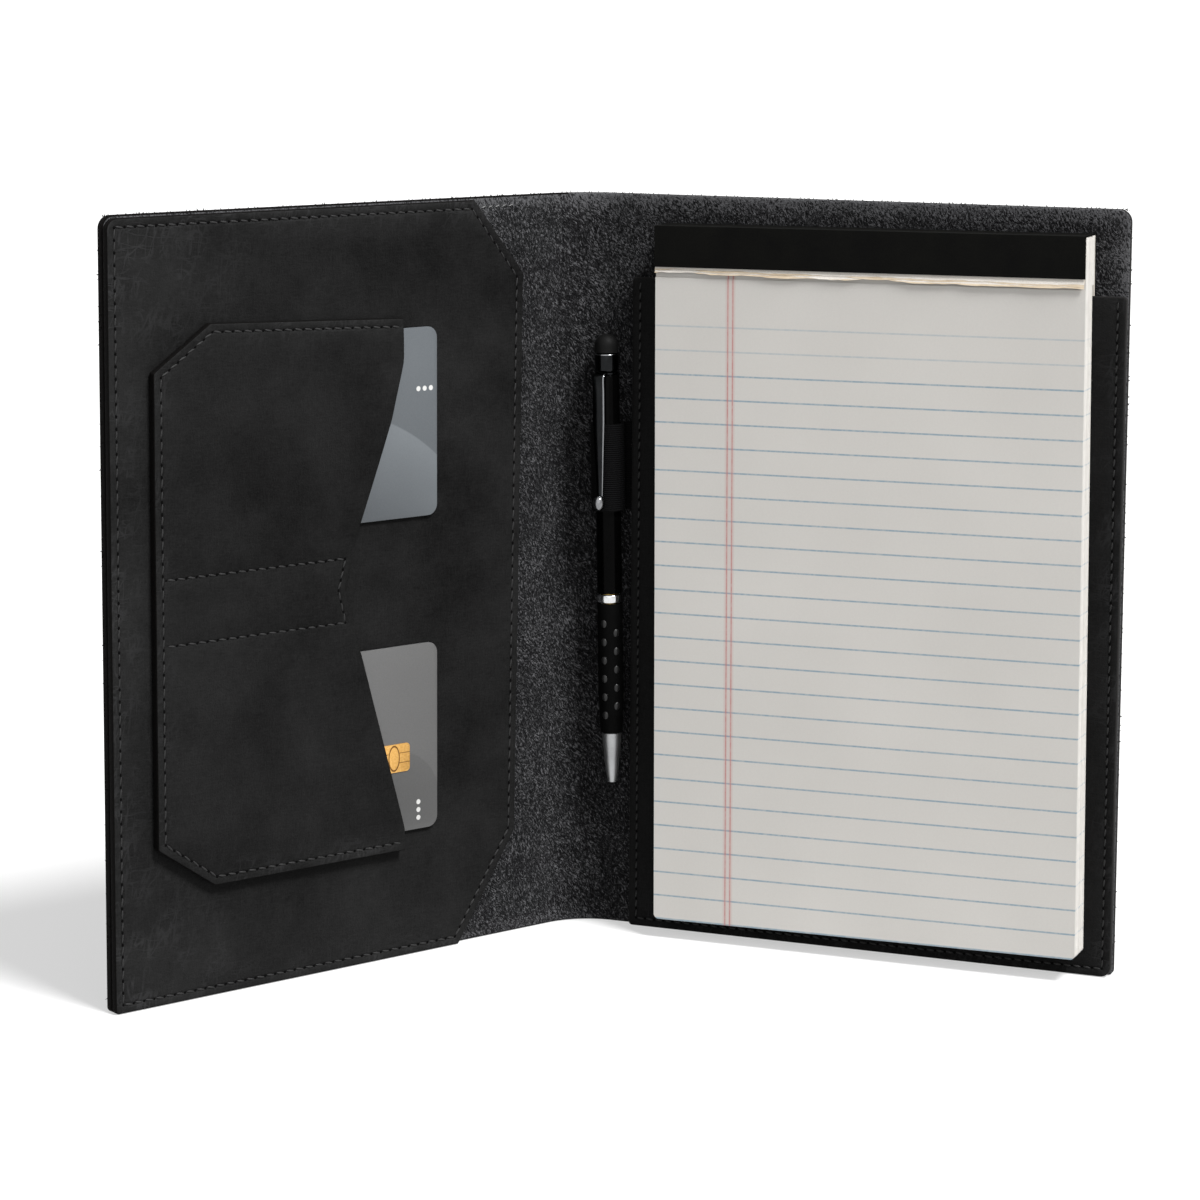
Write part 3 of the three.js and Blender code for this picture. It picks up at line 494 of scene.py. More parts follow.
def hollow(bm, zone, front):  # takes the back face forward inside a zone of (left, right, low, high)
    left, right, low, high = zone
    gridCuts(bm, (left, left - 0.25, right, right + 0.25), (low, low - 0.25, high, high + 0.25))
    for vert in bm.verts:
        x, y, z = vert.co
        if left - 0.1 < x < right + 0.1 and low - 0.1 < z < high + 0.1 and y > -front:
            vert.co.y = -front


def roundedLift(value, low, high, edge):  # 0 at both ends and 1 between them
    share = min(1, max(0, min(value - low, high - value) / edge))
    return share * share * (3 - 2 * share)


def ripple(bm, front, size, height, seed):
    for vert in bm.verts:
        if vert.co.y < -front + 0.4:
            vert.co.y += height * noise.noise(Vector((vert.co.x / size, seed, vert.co.z / size)))


def turned(profile, sides, rim=0.0, rimSteps=2):  # [radius, z] round the pen's axis
    bm = bmesh.new()
    verts = [bm.verts.new((radius, 0, z)) for radius, z in profile]
    closed = profile[0][0] > 1e-6 or profile[-1][0] > 1e-6
    edges = [bm.edges.new(pair) for pair in zip(verts, verts[1:] + verts[:1] if closed else verts[1:])]
    bmesh.ops.spin(bm, geom=verts + edges, cent=(0, 0, 0), axis=(0, 0, 1), angle=2 * math.pi, steps=sides,
                   use_merge=True)
    bmesh.ops.remove_doubles(bm, verts=bm.verts[:], dist=1e-4)
    bmesh.ops.recalc_face_normals(bm, faces=bm.faces[:])
    if rim:
        rings = [e for e in bm.edges if abs(e.verts[0].co.z - e.verts[1].co.z) < 1e-5
                 and e.calc_face_angle(0) > 0.45]
        bevelled(bm, rings, rim, rimSteps)
    return bm


def finishFaces(made, index):  # the finish of the faces that an operator has just made
    for vert in made["verts"]:
        for face in vert.link_faces:
            face.material_index = index


def joined(whole, part):
    mesh = bpy.data.meshes.new("part")
    part.to_mesh(mesh)
    part.free()
    whole.from_mesh(mesh)
    bpy.data.meshes.remove(mesh)


def wear(bm, measure):  # how worn the leather is at each place, 0 to 1
    layer = bm.verts.layers.float.new("worn")
    for vert in bm.verts:
        vert[layer] = min(1, max(0, measure(vert.co)))


def darkRims(bm):  # a leather panel's cut sides take its second finish
    for face in bm.faces:
        if face.normal.y > -0.8:
            face.material_index = 1


def linked(name, data):
    made = bpy.data.objects.new(name, data)
    bpy.context.scene.collection.objects.link(made)
    return made


def finishPiece(name, bm, seat, materials, replaced, sharp=38, origin=(0, 0)):
    place, body = seat
    uv = bm.loops.layers.uv.new("flat")
    for face in bm.faces:
        for corner in face.loops:
            corner[uv].uv = (corner.vert.co.x - origin[0], corner.vert.co.z - origin[1])
    bm.transform(place)
    mesh = bpy.data.meshes.new(name)
    bm.to_mesh(mesh)
    bm.free()
    for material in materials:
        mesh.materials.append(material)
    mesh.shade_smooth()
    mesh.set_sharp_from_angle(angle=math.radians(sharp))
    piece = linked(name, mesh)
    if replaced:
        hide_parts(*replaced)
    if body:
        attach(piece, body)
    return piece


def onHide(along, out):  # along it from the middle of its bend, and out behind its suede
    half = math.radians(case["lean"])
    turn = min(half, max(-half, along / case["bendRadius"]))
    straight = along - turn * case["bendRadius"]
    reach = case["bendRadius"] + out
    x = reach * math.sin(turn) + straight * math.cos(turn)
    y = reach * math.cos(turn) - straight * math.sin(turn) - case["bendRadius"] * math.cos(half)
    return Vector((x, y + case["bendY"], 0))


def addFuzz(bm, join, far, side):  # loose fibres that stand out of the hide's cut edges
    fuzz = {"topPitch": 0.5, "endPitch": 0.9, "topSpread": 38, "endSpread": 30, "length": 0.8,
            "root": 0.24, "sunk": 0.3, "clear": 4}
    loose = random.Random(5)
    spots = []
    for i in range(int(abs(far - join) / fuzz["topPitch"])):
        along = join + side * (i + loose.random()) * fuzz["topPitch"]
        spots.append((along, case["height"] - fuzz["sunk"], 90 + loose.gauss(0, fuzz["topSpread"])))
    for i in range(fuzz["clear"], int(case["height"] / fuzz["endPitch"]) - fuzz["clear"]):
        z = (i + loose.random()) * fuzz["endPitch"]
        spots.append((far - side * fuzz["sunk"], z, 90 - side * 90 + loose.gauss(0, fuzz["endSpread"])))
    for along, z, angle in spots:
        y = loose.uniform(0.15, 2.2)
        root = fuzz["root"] * loose.uniform(0.6, 1.4)
        length = fuzz["sunk"] + fuzz["length"] * loose.random() ** 2
        way = Vector((math.cos(math.radians(angle)), 0, math.sin(math.radians(angle))))
        aside = Vector((way.z, 0, -way.x)) * root
        base = Vector((along, y, z))
        places = [base + aside, base - aside, base + Vector((0, root * 1.7, 0)),
                  base + way * length + Vector((0, loose.gauss(0, 0.2), 0))]
        corners = [bm.verts.new(place) for place in places]
        for trio in ((0, 1, 2), (0, 3, 1), (1, 3, 2), (2, 3, 0)):
            bm.faces.new([corners[i] for i in trio]).material_index = 2


def hideHalf(name, side, replaced, edge):
    shape = {"lowCorner": 1.4, "highCorner": 3.6, "rim": 0.4, "worn": 9.0,
             "cuts": ((0.25, 0.9, 30), (28, 9.0, 15)),  # first, pitch and count, closer round the bend
             "edgeCuts": (1.5, 4.0, 8.0), "rows": 12,
             "suedeLimit": {1: -0.7, -1: -0.97}}  # on the left, more of the rim's bevel takes the edge finish, which there is painted shade, beside its lining
    join = case["joinAt"]
    far = side * (case["bendRadius"] * math.radians(case["lean"]) + case["cover"])
    high = case["height"]
    corners = [(join, 0), (far, 0, shape["lowCorner"]), (far, high, shape["highCorner"]), (join, high)]
    bm = slab(corners, -case["hide"], 0, shape["rim"], 3, lambda middle: abs(middle.x - join) < 0.01)
    gridCuts(bm, [join + side * (first + pitch * i) for first, pitch, count in shape["cuts"]
                  for i in range(count)], steps(0, high, shape["rows"]))
    for away in shape["edgeCuts"]:
        gridCuts(bm, [far - side * away], [away, high - away])
    for face in bm.faces:
        inward = face.normal.y < shape["suedeLimit"][side]
        face.material_index = 0 if inward else 1 if face.normal.y > 0.7 else 2
    addFuzz(bm, join, far, side)
    bmesh.ops.recalc_face_normals(bm, faces=bm.faces[:])
    wear(bm, lambda at: max(0, 1 - min(abs(far - at.x), high - at.z, at.z + 3) / shape["worn"]) ** 2)
    for vert in bm.verts:
        spot = onHide(vert.co.x, vert.co.y)
        vert.co = Vector((spot.x, spot.y, vert.co.z))
    piece = finishPiece(name, bm, (toMetres, None), [suede, grain, edge], replaced)
    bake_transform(piece)


hideHalf("hide_right", 1, ["cover_right", "spine"], cutEdge)
# the left hide's cut edges take the darker edge finish, painted shade
hideHalf("hide_left", -1, ["cover_left"], shadedEdge)
print("hide made")


chance = random.Random(11)
sunk = 0.16  # how far stitches lie below the leather's front


def sewingRow(line, pitch, closed):  # the middle and direction of each stitch
    for a, b in pairs(line, closed):
        count = max(1, round((b - a).length / pitch))
        for i in range(count):
            yield a + (b - a) * ((i + 0.5) / count), (b - a).normalized(), (b - a).length / count


def stitches(name, lines, front, seat, replaced, materials, closed=False, shape=None):
    sewn = {"pitch": 3.35, "thick": 0.3, "slant": 9.0, "holeSize": 0.4, "share": 0.62, "holes": True,
            "batch": 12}
    sewn.update(shape or {})
    rows = [spot for line in lines for spot in sewingRow(line, sewn["pitch"], closed)]
    whole = bmesh.new()
    for first in range(0, len(rows), sewn["batch"]):  # a few at a time, because a large mesh grows slowly
        bm = bmesh.new()
        for spot, way, length in rows[first:first + sewn["batch"]]:
            angle = -math.degrees(math.atan2(way.y, way.x))
            along = moved(spot.x, -front, spot.y) @ turnAbout("Y", angle)
            lean = turnAbout("Y", sewn["slant"] + chance.uniform(-2.5, 2.5))
            size = Matrix.Diagonal((length * sewn["share"] / 1.7, sewn["thick"] * 0.8, sewn["thick"], 1))
            bmesh.ops.create_uvsphere(bm, u_segments=8, v_segments=6, radius=1,
                                      matrix=along @ lean @ size @ turnAbout("Y", 90))
            if not sewn["holes"]:
                continue
            # a flat dark disc at the stitch's end, painted shade of its hole
            size = Matrix.Diagonal((sewn["holeSize"], 0.07, sewn["holeSize"] * 1.05, 1))
            spotOfHole = moved(spot.x - way.x * length / 2, -front, spot.y - way.y * length / 2)
            made = bmesh.ops.create_uvsphere(bm, u_segments=10, v_segments=4, radius=1,
                                             matrix=spotOfHole @ size @ turnAbout("X", 90))
            finishFaces(made, 1)
        joined(whole, bm)
    finishPiece(name, whole, seat, materials, replaced, 80)


lining = {
    "corners": [(-36.0, 0), (-15.2, 31.1), (-12.4, 195.0), (-30.1, 216.6), (-153.5, 216.6, 3.2),
                (-153.5, 0, 1.2)],
    "back": 0.2, "front": 2.4, "rim": 0.5, "seamInset": 2.4,
    "columns": (-153, -13, 6), "rows": (0, 216, 6), "ripple": (34, 0.14, 3.7),
}


def buildLining():
    bm = slab(lining["corners"], lining["back"], lining["front"], lining["rim"], 3)
    seam = inset(lining["corners"], lining["seamInset"], True)
    gridCuts(bm, steps(*lining["columns"]), steps(*lining["rows"]))
    sink(bm, lining["front"], pairs(seam, True))
    ripple(bm, lining["front"], *lining["ripple"])
    darkRims(bm)
    top = max(corner[1] for corner in lining["corners"])

    def worn(at):  # along the far side and most at its two corners, then along the top and the bottom
        inward, down = at.x + case["cover"], top - at.z
        return max(1 - inward / 13 + 0.25 * noise.noise(at / 14), 1.15 - math.hypot(inward, down) / 48,
                   0.9 - down / 9, 1.15 - math.hypot(inward, at.z) / 44, 0.8 - at.z / 7)

    wear(bm, worn)
    # its rims take the darker edge finish, painted shade
    finishPiece("lining_leather", bm, onLeft, [liningLeather, shadedEdge], ["lining"])
    stitches("lining_stitches", [seam], lining["front"] - sunk, onLeft, ["lining_thread"],
             [thread, hole], True)


buildLining()

pocket = {
    "outside": [(-57.4, 184.76), (-122.6, 187.26, 1), (-141, 174.86, 1), (-141, 44.2, 1), (-122.6, 31.8, 1),
                (-57.4, 31.8)],
    "mouth": [(-57.4, 38.02, 6), (-72.64, 90.87), (-78.0, 109.53, 2), (-75.73, 119.63),
              (-61.73, 156.17, 20), (-57.4, 172.49, 12)],
    "back": 2.6, "front": 5.0, "rim": 0.45, "seamInset": 2.4, "slotFront": 3.8,
    "cards": [(36.3, 91.48), (127.08, 182.26)], "slotFar": -130.8, "swell": 0.22,
    "dividers": [(-137.6, 118.38), (-78, 118.38), (-80.4, 109.53), (-78, 100.18), (-137.6, 100.18)],
    "columns": (-141, -57, 6), "rows": (32, 187, 6), "ripple": (22, 0.12, 9.1),
    "worn": (-141, 31.8, 187.3),  # the far side, the bottom and the top
}


def buildPocket():
    bm = slab(pocket["outside"] + pocket["mouth"], pocket["back"], pocket["front"], pocket["rim"], 3)
    seam = inset(pocket["outside"], pocket["seamInset"])
    seam[0] = seam[0] + (seam[1] - seam[0]).normalized()
    seam[-1] = seam[-1] + (seam[-2] - seam[-1]).normalized()
    divider = [Vector(p) for p in pocket["dividers"]]
    gridCuts(bm, steps(*pocket["columns"]), steps(*pocket["rows"]))
    for low, high in pocket["cards"]:
        hollow(bm, (pocket["slotFar"], 0, low, high), pocket["slotFront"])
    sink(bm, pocket["front"], pairs(seam) + pairs(divider))
    for vert in bm.verts:
        if vert.co.y < -pocket["front"] + 0.4:
            for low, high in pocket["cards"]:
                vert.co.y -= (pocket["swell"] * roundedLift(vert.co.z, low - 3, high + 3, 9)
                              * roundedLift(vert.co.x, pocket["slotFar"] - 3, 0, 9))
    ripple(bm, pocket["front"], *pocket["ripple"])
    darkRims(bm)
    far, bottom, top = pocket["worn"]
    wear(bm, lambda at: max(0.6 - (at.x - far) / 12, 0.7 - (top - at.z) / 14, 0.7 - (at.z - bottom) / 14))
    # its rims take the darker edge finish, painted shade
    finishPiece("pocket_leather", bm, onLeft, [pocketLeather, shadedEdge], ["card_pocket"])
    for name, line in (("pocket", seam), ("divider", divider)):
        stitches(name + "_stitches", [line], pocket["front"] - sunk, onLeft, [name + "_thread"],
                 [thread, hole])


buildPocket()
print("lining and pocket made")


def buildCard(name, bottom, material):
    card = {"left": -130.2, "right": -44.6, "height": 53.98, "back": 2.6, "thick": 0.76, "corner": 3.18}
    corners = rectangle(card["left"], card["right"], bottom, bottom + card["height"], card["corner"])
    bm = slab(corners, card["back"], card["back"] + card["thick"], 0.08, 2)
    finishPiece(name + "_printed", bm, (leftCover, name), [material], [name])


def buildChip():
    chip = {"middle": (-60.2, 58.6), "half": (5.6, 4.1), "corner": 1.2, "back": 3.4, "front": 3.61}
    (x, z), (wide, tall) = chip["middle"], chip["half"]
    bm = slab(rectangle(x - wide, x + wide, z - tall, z + tall, chip["corner"]), chip["back"],
              chip["front"], 0.05, 2)
    finishPiece("chip_contacts", bm, (leftCover, "lower_card"), [chipGold], ["card_chip"],
                origin=chip["middle"])


buildCard("upper_card", 127.68, upperPlastic)
buildCard("lower_card", 36.9, lowerPlastic)
buildChip()
print("cards made")


panel = {
    "corners": [(6.8, 0, 1), (153.5, 0, 3), (153.5, 193.2, 1), (6.8, 193.2, 1)],
    "back": 0.2, "front": 2.8, "rim": 0.5,
    "board": (15.7, 146.75, 5.2, 300.0), "boardFront": 1.6,
    "tail": (-50.0, 14.55, 123.9, 151.5), "tailFront": 1.55,
    "seam": [(9.2, 192.2), (9.2, 2.4), (151.1, 2.4), (151.1, 192.2)],
    "columns": (7, 153, 10), "rows": (0, 193, 10), "ripple": (30, 0.1, 5.3),
}


def buildPadPanel():
    bm = slab(panel["corners"], panel["back"], panel["front"], panel["rim"], 3)
    gridCuts(bm, steps(*panel["columns"]), steps(*panel["rows"]))
    hollow(bm, panel["board"], panel["boardFront"])
    hollow(bm, panel["tail"], panel["tailFront"])
    seam = [Vector(p) for p in panel["seam"]]
    sink(bm, panel["front"], pairs(seam))
    ripple(bm, panel["front"], *panel["ripple"])
    darkRims(bm)
    wear(bm, lambda at: max(0.7 - (case["cover"] - at.x) / 14, 0.7 - at.z / 12))
    finishPiece("panel_leather", bm, onRight, [panelLeather, cutEdge], ["pad_panel"])
    stitches("panel_stitches", [seam], panel["front"] - sunk, onRight, ["pad_panel_thread"],
             [darkThread, hole], shape={"pitch": 2.9, "holeSize": 0.34})


buildPadPanel()


def buildOuterStitches():  # the same seams come through to the covers' outer faces
    outer = {"pitch": 3.35, "thick": 0.26, "slant": 6.0, "share": 0.7}
    behind = -case["hide"] - 0.04
    seam = inset(lining["corners"], lining["seamInset"], True)
    stitches("outer_stitches_left", [seam], behind, onLeft, (), [thread, hole], True, outer)
    seam = [Vector(p) for p in panel["seam"]]
    stitches("outer_stitches_right", [seam], behind, onRight, (), [thread, hole], shape=outer)
    loose = {"pitch": 2.5, "thick": 0.2, "slant": -20.0, "share": 0.56, "holes": False}
    seam = [Vector((-29.0, 214.3)), Vector((-14.2, 214.5))]
    stitches("end_stitches", [seam], 0.12, onLeft, (), [paleThread], shape=loose)


buildOuterStitches()

pad = {
    "width": 127.0, "height": 203.2, "boardBack": 0.5, "boardFront": 1.3, "paperBack": 3.0, "bound": 1.45,
    "bottomThick": 9.4, "fall": 0.01181, "step": 189.5, "groups": 22, "uneven": 0.13, "sheetTop": 188.7,
}
stubs = {
    "level": 190.75, "slant": 1.1, "bottom": 189.0, "bend": (191.6, 190.9), "thick": 0.09, "narrower": 0.3,
    # each layer's distance in front, seed, height, wave, curl and finish
    "layers": [(0.15, 5, -0.65, 0.9, 0.34, 0), (0.27, 8, -0.35, 0.7, 0.28, 1),
               (0.39, 13, 0.0, 0.8, 0.24, 0), (0.47, 21, 0.4, 0.6, 0.2, 1)],
}
tape = {"low": 191.7, "high": 203.35, "thick": 0.25, "lift": 0.7, "back": (0.2, 0.35), "backLow": 191.2,
        "wider": 0.05, "rim": 0.22}


def paperFront(z):
    return pad["paperBack"] + pad["bottomThick"] - pad["fall"] * z


def slope(bm):  # shapes made at distances 0 to 1 take their share of the block's thickness
    for vert in bm.verts:
        vert.co.y = -(pad["paperBack"] - vert.co.y * (paperFront(vert.co.z) - pad["paperBack"]))


def buildPad():
    width, height, groups = pad["width"], pad["height"], pad["groups"]
    board = slab([(0, 0, 2), (width, 0, 2), (width, height), (0, height)], pad["boardBack"],
                 pad["boardFront"], 0.1, 2)
    finishPiece("pad_board", board, onPad, [boardFinish], ["backing_board"])
    whole = bmesh.new()
    for i in range(groups):  # each group of sheets lies a little out of line
        dx = chance.uniform(-pad["uneven"], pad["uneven"])
        dz = abs(chance.gauss(0, pad["uneven"]))
        right, top = width + dx - 0.1, height - 0.1
        corners = [(dx, dz, 1.5), (right, dz, 1.2 + chance.uniform(-0.2, 0.2)), (right, top), (dx, top)]
        group = slab(corners, i / groups, (i + 1) / groups, 0)
        slope(group)
        joined(whole, group)
    root = slab([(0, pad["step"]), (width, pad["step"]), (width, height), (0, height)], pad["bound"],
                pad["paperBack"], 0)
    joined(whole, root)
    for face in whole.faces:
        if face.normal.y < -0.8:
            face.material_index = 1
    finishPiece("pad_sheets", whole, onPad, [plainPaper, ruledPaper], ["paper_block"], 25)


def jagged(low, wave, seed, step=1.9):  # the torn lower edge of a stub, left to right
    rough = random.Random(seed)
    count = int(pad["width"] / step)
    points = []
    for i in range(count, -1, -1):
        x = (pad["width"] - stubs["narrower"]) * i / count
        swell = noise.noise(Vector((x / 15, seed, 0))) * wave
        points.append((x, max(stubs["bottom"], low(x) + swell + rough.uniform(-0.12, 0.12))))
    return points[::-1]


def buildStubs():
    whole = bmesh.new()
    for behind, seed, lift, wave, curling, finish in stubs["layers"]:
        edge = jagged(lambda x: stubs["level"] - stubs["slant"] * x / pad["width"] + lift, wave, seed)
        corners = [(0, pad["height"])] + edge + [(pad["width"] - stubs["narrower"], pad["height"])]
        bm = slab(corners, 0, stubs["thick"], 0)
        gridCuts(bm, zs=stubs["bend"])
        for vert in bm.verts:
            curl = max(0, stubs["bend"][0] - vert.co.z) * curling
            vert.co.y = -(paperFront(vert.co.z) + behind - vert.co.y + curl)
        for face in bm.faces:
            face.material_index = finish
        joined(whole, bm)
    finishPiece("stubs_torn", whole, onPad, [stubCream, stubWhite], ["torn_stubs"], 25)


def buildTape():
    low, high, thick = tape["low"], tape["high"], tape["thick"]
    lowFront, highFront = paperFront(low) + tape["lift"], paperFront(high) + tape["lift"]
    far, near = tape["back"]
    points = [(lowFront, low), (lowFront + thick, low), (highFront + thick, high + thick),
              (far, high + thick), (far, tape["backLow"]), (near, tape["backLow"]), (near, high),
              (highFront, high)]
    bm = bar(points, -tape["wider"], pad["width"] + tape["wider"])
    sharpTop = [e for e in bm.edges if e.calc_face_angle(0) > 1 and e.calc_length() > 100
                and all(v.co.z > high + 0.1 for v in e.verts)]
    bevelled(bm, sharpTop, tape["rim"], 4)
    finishPiece("tape_strip", bm, onPad, [tapeFinish], ["binding_tape"])


def buildTopSheet():
    corners = [(0.05, 0.05, 1.5), (pad["width"] - 0.05, 0.05, 1.2), (pad["width"] - 0.05, pad["sheetTop"]),
               (0.05, pad["sheetTop"])]
    bm = slab(corners, 0.15, 0.35, 0)
    gridCuts(bm, steps(0, pad["width"], 8), steps(0, pad["sheetTop"], 8))
    for vert in bm.verts:
        vert.co.y -= paperFront(vert.co.z)
    finishPiece("sheet_ruled", bm, (padPlace, "top_sheet"), [ruledPaper], ["top_sheet"], 60)


buildPad()
buildStubs()
buildTape()
buildTopSheet()
print("pad made")


pen = {
    "cone": {"tip": 1.3, "top": 2.8, "tall": 14.8, "steps": 24, "boreTop": 6, "mouth": (0.75, 3)},
    "grip": [(3.3, 15.1), (3.75, 26.7), (3.75, 53.6)],
    "ring": (3.85, 53.9, 56.3), "barrel": (3.65, 56.6, 121.0), "collar": (3.55, 122.1, 127.3),
    "dome": (3.5, 127.6, 133.0),
    "sleeveRoom": 3.05, "sleeveEnd": 46.7, "barrelBore": 3.0, "refillRoom": 1.95,
    "bumps": {"columns": 6, "rows": 6, "pitch": 5.45, "first": 20.5, "turn": -9.0,
              # the rise, width, depth and height of the rim of painted shade and of the bump in it
              "parts": ((0.06, 1.4, 0.6, 1.75), (0.34, 1.0, 0.65, 1.35))},
}


def buildNose():
    cone = pen["cone"]
    profile = []
    for i in range(cone["steps"] + 1):
        share = i / cone["steps"]
        swell = 1 - (1 - share) ** 1.5
        profile.append((cone["tip"] + (cone["top"] - cone["tip"]) * swell, cone["tall"] * share))
    profile += [(pen["refillRoom"], cone["tall"]), (pen["refillRoom"], cone["boreTop"]), cone["mouth"],
                (cone["mouth"][0], 0)]
    bm = turned(profile, 64, 0.08)
    finishPiece("pen_nose", bm, onPenLower, [coneSilver], ["nose_cone"])


def buildGrip():
    bumps = pen["bumps"]
    (thin, low), (wide, waist), (wide, high) = pen["grip"]
    profile = pen["grip"] + [(pen["sleeveRoom"], high), (pen["sleeveRoom"], pen["sleeveEnd"]),
                              (pen["refillRoom"], pen["sleeveEnd"]), (pen["refillRoom"], low)]
    bm = turned(profile, 64, 0.15, 3)
    for column in range(bumps["columns"]):
        odd = column % 2
        turn = turnAbout("Z", bumps["turn"] + 360 * column / bumps["columns"])
        for row in range(bumps["rows"] - odd):
            z = bumps["first"] + (row + odd / 2) * bumps["pitch"]
            radius = wide if z > waist else thin + (wide - thin) * (z - low) / (waist - low)
            # part 0, the rim, takes the hole's painted shade, and part 1, the bump, its own rubber
            for part, (rise, across, deep, tall) in enumerate(bumps["parts"]):
                place = turn @ moved(0, -radius - rise + deep, z)
                size = Matrix.Diagonal((across, deep, tall, 1))
                made = bmesh.ops.create_uvsphere(bm, u_segments=16, v_segments=10, radius=1,
                                                 matrix=place @ size @ turnAbout("X", 90))
                finishFaces(made, part + 1)
    finishPiece("grip_rubber", bm, onPenLower, [gripRubber, hole, bumpRubber], ["pen_grip"])


def buildTube(tube, bore, rim, name, finish, node):
    radius, low, high = pen[tube]
    bm = turned([(radius, low), (radius, high), (pen[bore], high), (pen[bore], low)], 64, rim, 3)
    finishPiece(name, bm, onPen, [finish], [node])


def buildCollar():
    radius, low, high = pen["collar"]
    rim = 0.4
    bm = turned([(0, low), (radius, low), (radius, high), (0, high)], 64, rim, 4)
    # painted highlight: the collar's top rim takes the brighter chrome
    for face in bm.faces:
        bright = face.calc_center_median().z > high - rim and face.normal.z < 0.98
        face.material_index = 1 if bright else 0
    finishPiece("collar_chrome", bm, onPen, [chrome, highlightChrome], ["pen_collar"])


def buildDome():
    radius, low, high = pen["dome"]
    arc = [(radius * math.cos(math.radians(a)), high - radius + radius * math.sin(math.radians(a)))
           for a in range(0, 90, 6)]
    bm = turned([(0, low), (radius, low)] + arc + [(0, high)], 64)
    finishPiece("dome_rubber", bm, onPen, [domeRubber], ["stylus_dome"])


clip = {  # its blade is made 1 wide, from -0.5 to 0.5, and then widened
    "inner": 5.55, "outer": 6.45, "root": 2.75, "low": 121.3, "top": 121.8, "bulge": 0.2, "wideFrom": 107.3,
    "end": 86.0, "topWidth": 3.6, "endWidth": 1.8, "ball": (6.9, 84.0, 1.8, 2.3), "turn": -2.0,
    "crown": 0.3, "shoulder": 2.2, "innerShoulder": 3.2, "fade": 16, "count": 12, "rim": 0.1,
    "highlightFrom": 0.4,
    "cuts": (-0.42, -0.33, -0.22, -0.1, 0.1, 0.22, 0.33, 0.42), "collar": (3.6, 2.2),
}


def buildClip():
    inner, outer, low, top, end = clip["inner"], clip["outer"], clip["low"], clip["top"], clip["end"]
    shoulder, innerShoulder = top - clip["shoulder"], low - clip["innerShoulder"]
    count = clip["count"]

    def bulged(distance, z):
        return (distance + clip["bulge"] * roundedLift(z, end, shoulder, clip["fade"]), z)

    head = [(clip["root"], top), (outer - 1.5, top), (outer - 0.75, top - 0.3), (outer - 0.2, top - 1.0),
            (outer, shoulder)]
    down = [bulged(outer, shoulder + (end - shoulder) * i / count) for i in range(1, count + 1)]
    up = [bulged(inner, end + (innerShoulder - end) * i / count) for i in range(count)]
    neck = [(inner, innerShoulder), (inner - 0.25, low - 1.6), (inner - 1.0, low), (clip["root"], low)]
    bm = bar(head + down + up + neck, -0.5, 0.5)
    sides = [e for e in bm.edges if abs(abs(e.verts[0].co.x) - 0.5) < 1e-4
             and abs(e.verts[0].co.x - e.verts[1].co.x) < 1e-4 and e.calc_face_angle(0) > 1]
    bevelled(bm, sides, clip["rim"], 4)
    gridCuts(bm, clip["cuts"])
    # painted highlight: the blade's right edge takes the brighter chrome
    for face in bm.faces:
        bright = face.calc_center_median().x > clip["highlightFrom"] and face.normal.y < 0.5
        face.material_index = 1 if bright else 0
    for vert in bm.verts:
        if -vert.co.y > (inner + outer) / 2 and vert.co.z < low:
            vert.co.y += clip["crown"] * (2 * vert.co.x) ** 2 * min(1, (low - vert.co.z) / 4)
        share = min(1, max(0, (vert.co.z - end) / (clip["wideFrom"] - end)))
        vert.co.x *= clip["endWidth"] + (clip["topWidth"] - clip["endWidth"]) * share
    radius, z, across, tall = clip["ball"]
    place = moved(0, -radius, z) @ Matrix.Diagonal((across, across, tall, 1))
    # painted highlight: the ball takes the brighter chrome
    finishFaces(bmesh.ops.create_uvsphere(bm, u_segments=32, v_segments=20, radius=1, matrix=place), 1)
    wide, bore = clip["collar"]
    joined(bm, turned([(wide, low), (wide, top), (bore, top), (bore, low)], 48, 0.08))
    bmesh.ops.rotate(bm, cent=(0, 0, 0), matrix=turnAbout("Z", clip["turn"]).to_3x3(), verts=bm.verts[:])
    finishPiece("clip_chrome", bm, onPen, [chrome, highlightChrome], ["pen_clip"])


loop = {
    "low": 81.2, "height": 25.6, "inner": 4.15, "outer": 4.95, "turn": 330, "steps": 44,
    "tailEnd": 12.6, "tailStart": 4.6,
}


def buildLoop():
    inner, outer, end = loop["inner"], loop["outer"], loop["tailEnd"]
    middle = (inner + outer) / 2
    half = (outer - inner) / 2
    # the places on its route, each with its outward way and half its thickness
    path = [((end, outer - 0.26), (0, 1), 0.24), ((0.8, outer - 0.3), (0, 1), 0.3)]
    for i in range(loop["steps"] + 1):
        angle = math.radians(90 + loop["turn"] * i / loop["steps"])
        way = (math.cos(angle), math.sin(angle))
        path.append(((middle * way[0], middle * way[1]), way, half))
    path += [((loop["tailStart"], outer - 1.0), (0, -1), 0.24), ((end, outer - 0.76), (0, -1), 0.22)]
    bm = bmesh.new()
    rails = []
    for (x, y), (nx, ny), wide in path:
        rails.append((bm.verts.new((x - nx * wide, y - ny * wide, loop["low"])),
                      bm.verts.new((x + nx * wide, y + ny * wide, loop["low"]))))
    for (a, b), (c, d) in zip(rails, rails[1:]):
        bm.faces.new((a, b, d, c))
    thicken(bm, (0, 0, loop["height"]))
    finishPiece("loop_elastic", bm, (penPlace, "right_cover"), [elastic], ["pen_loop"])


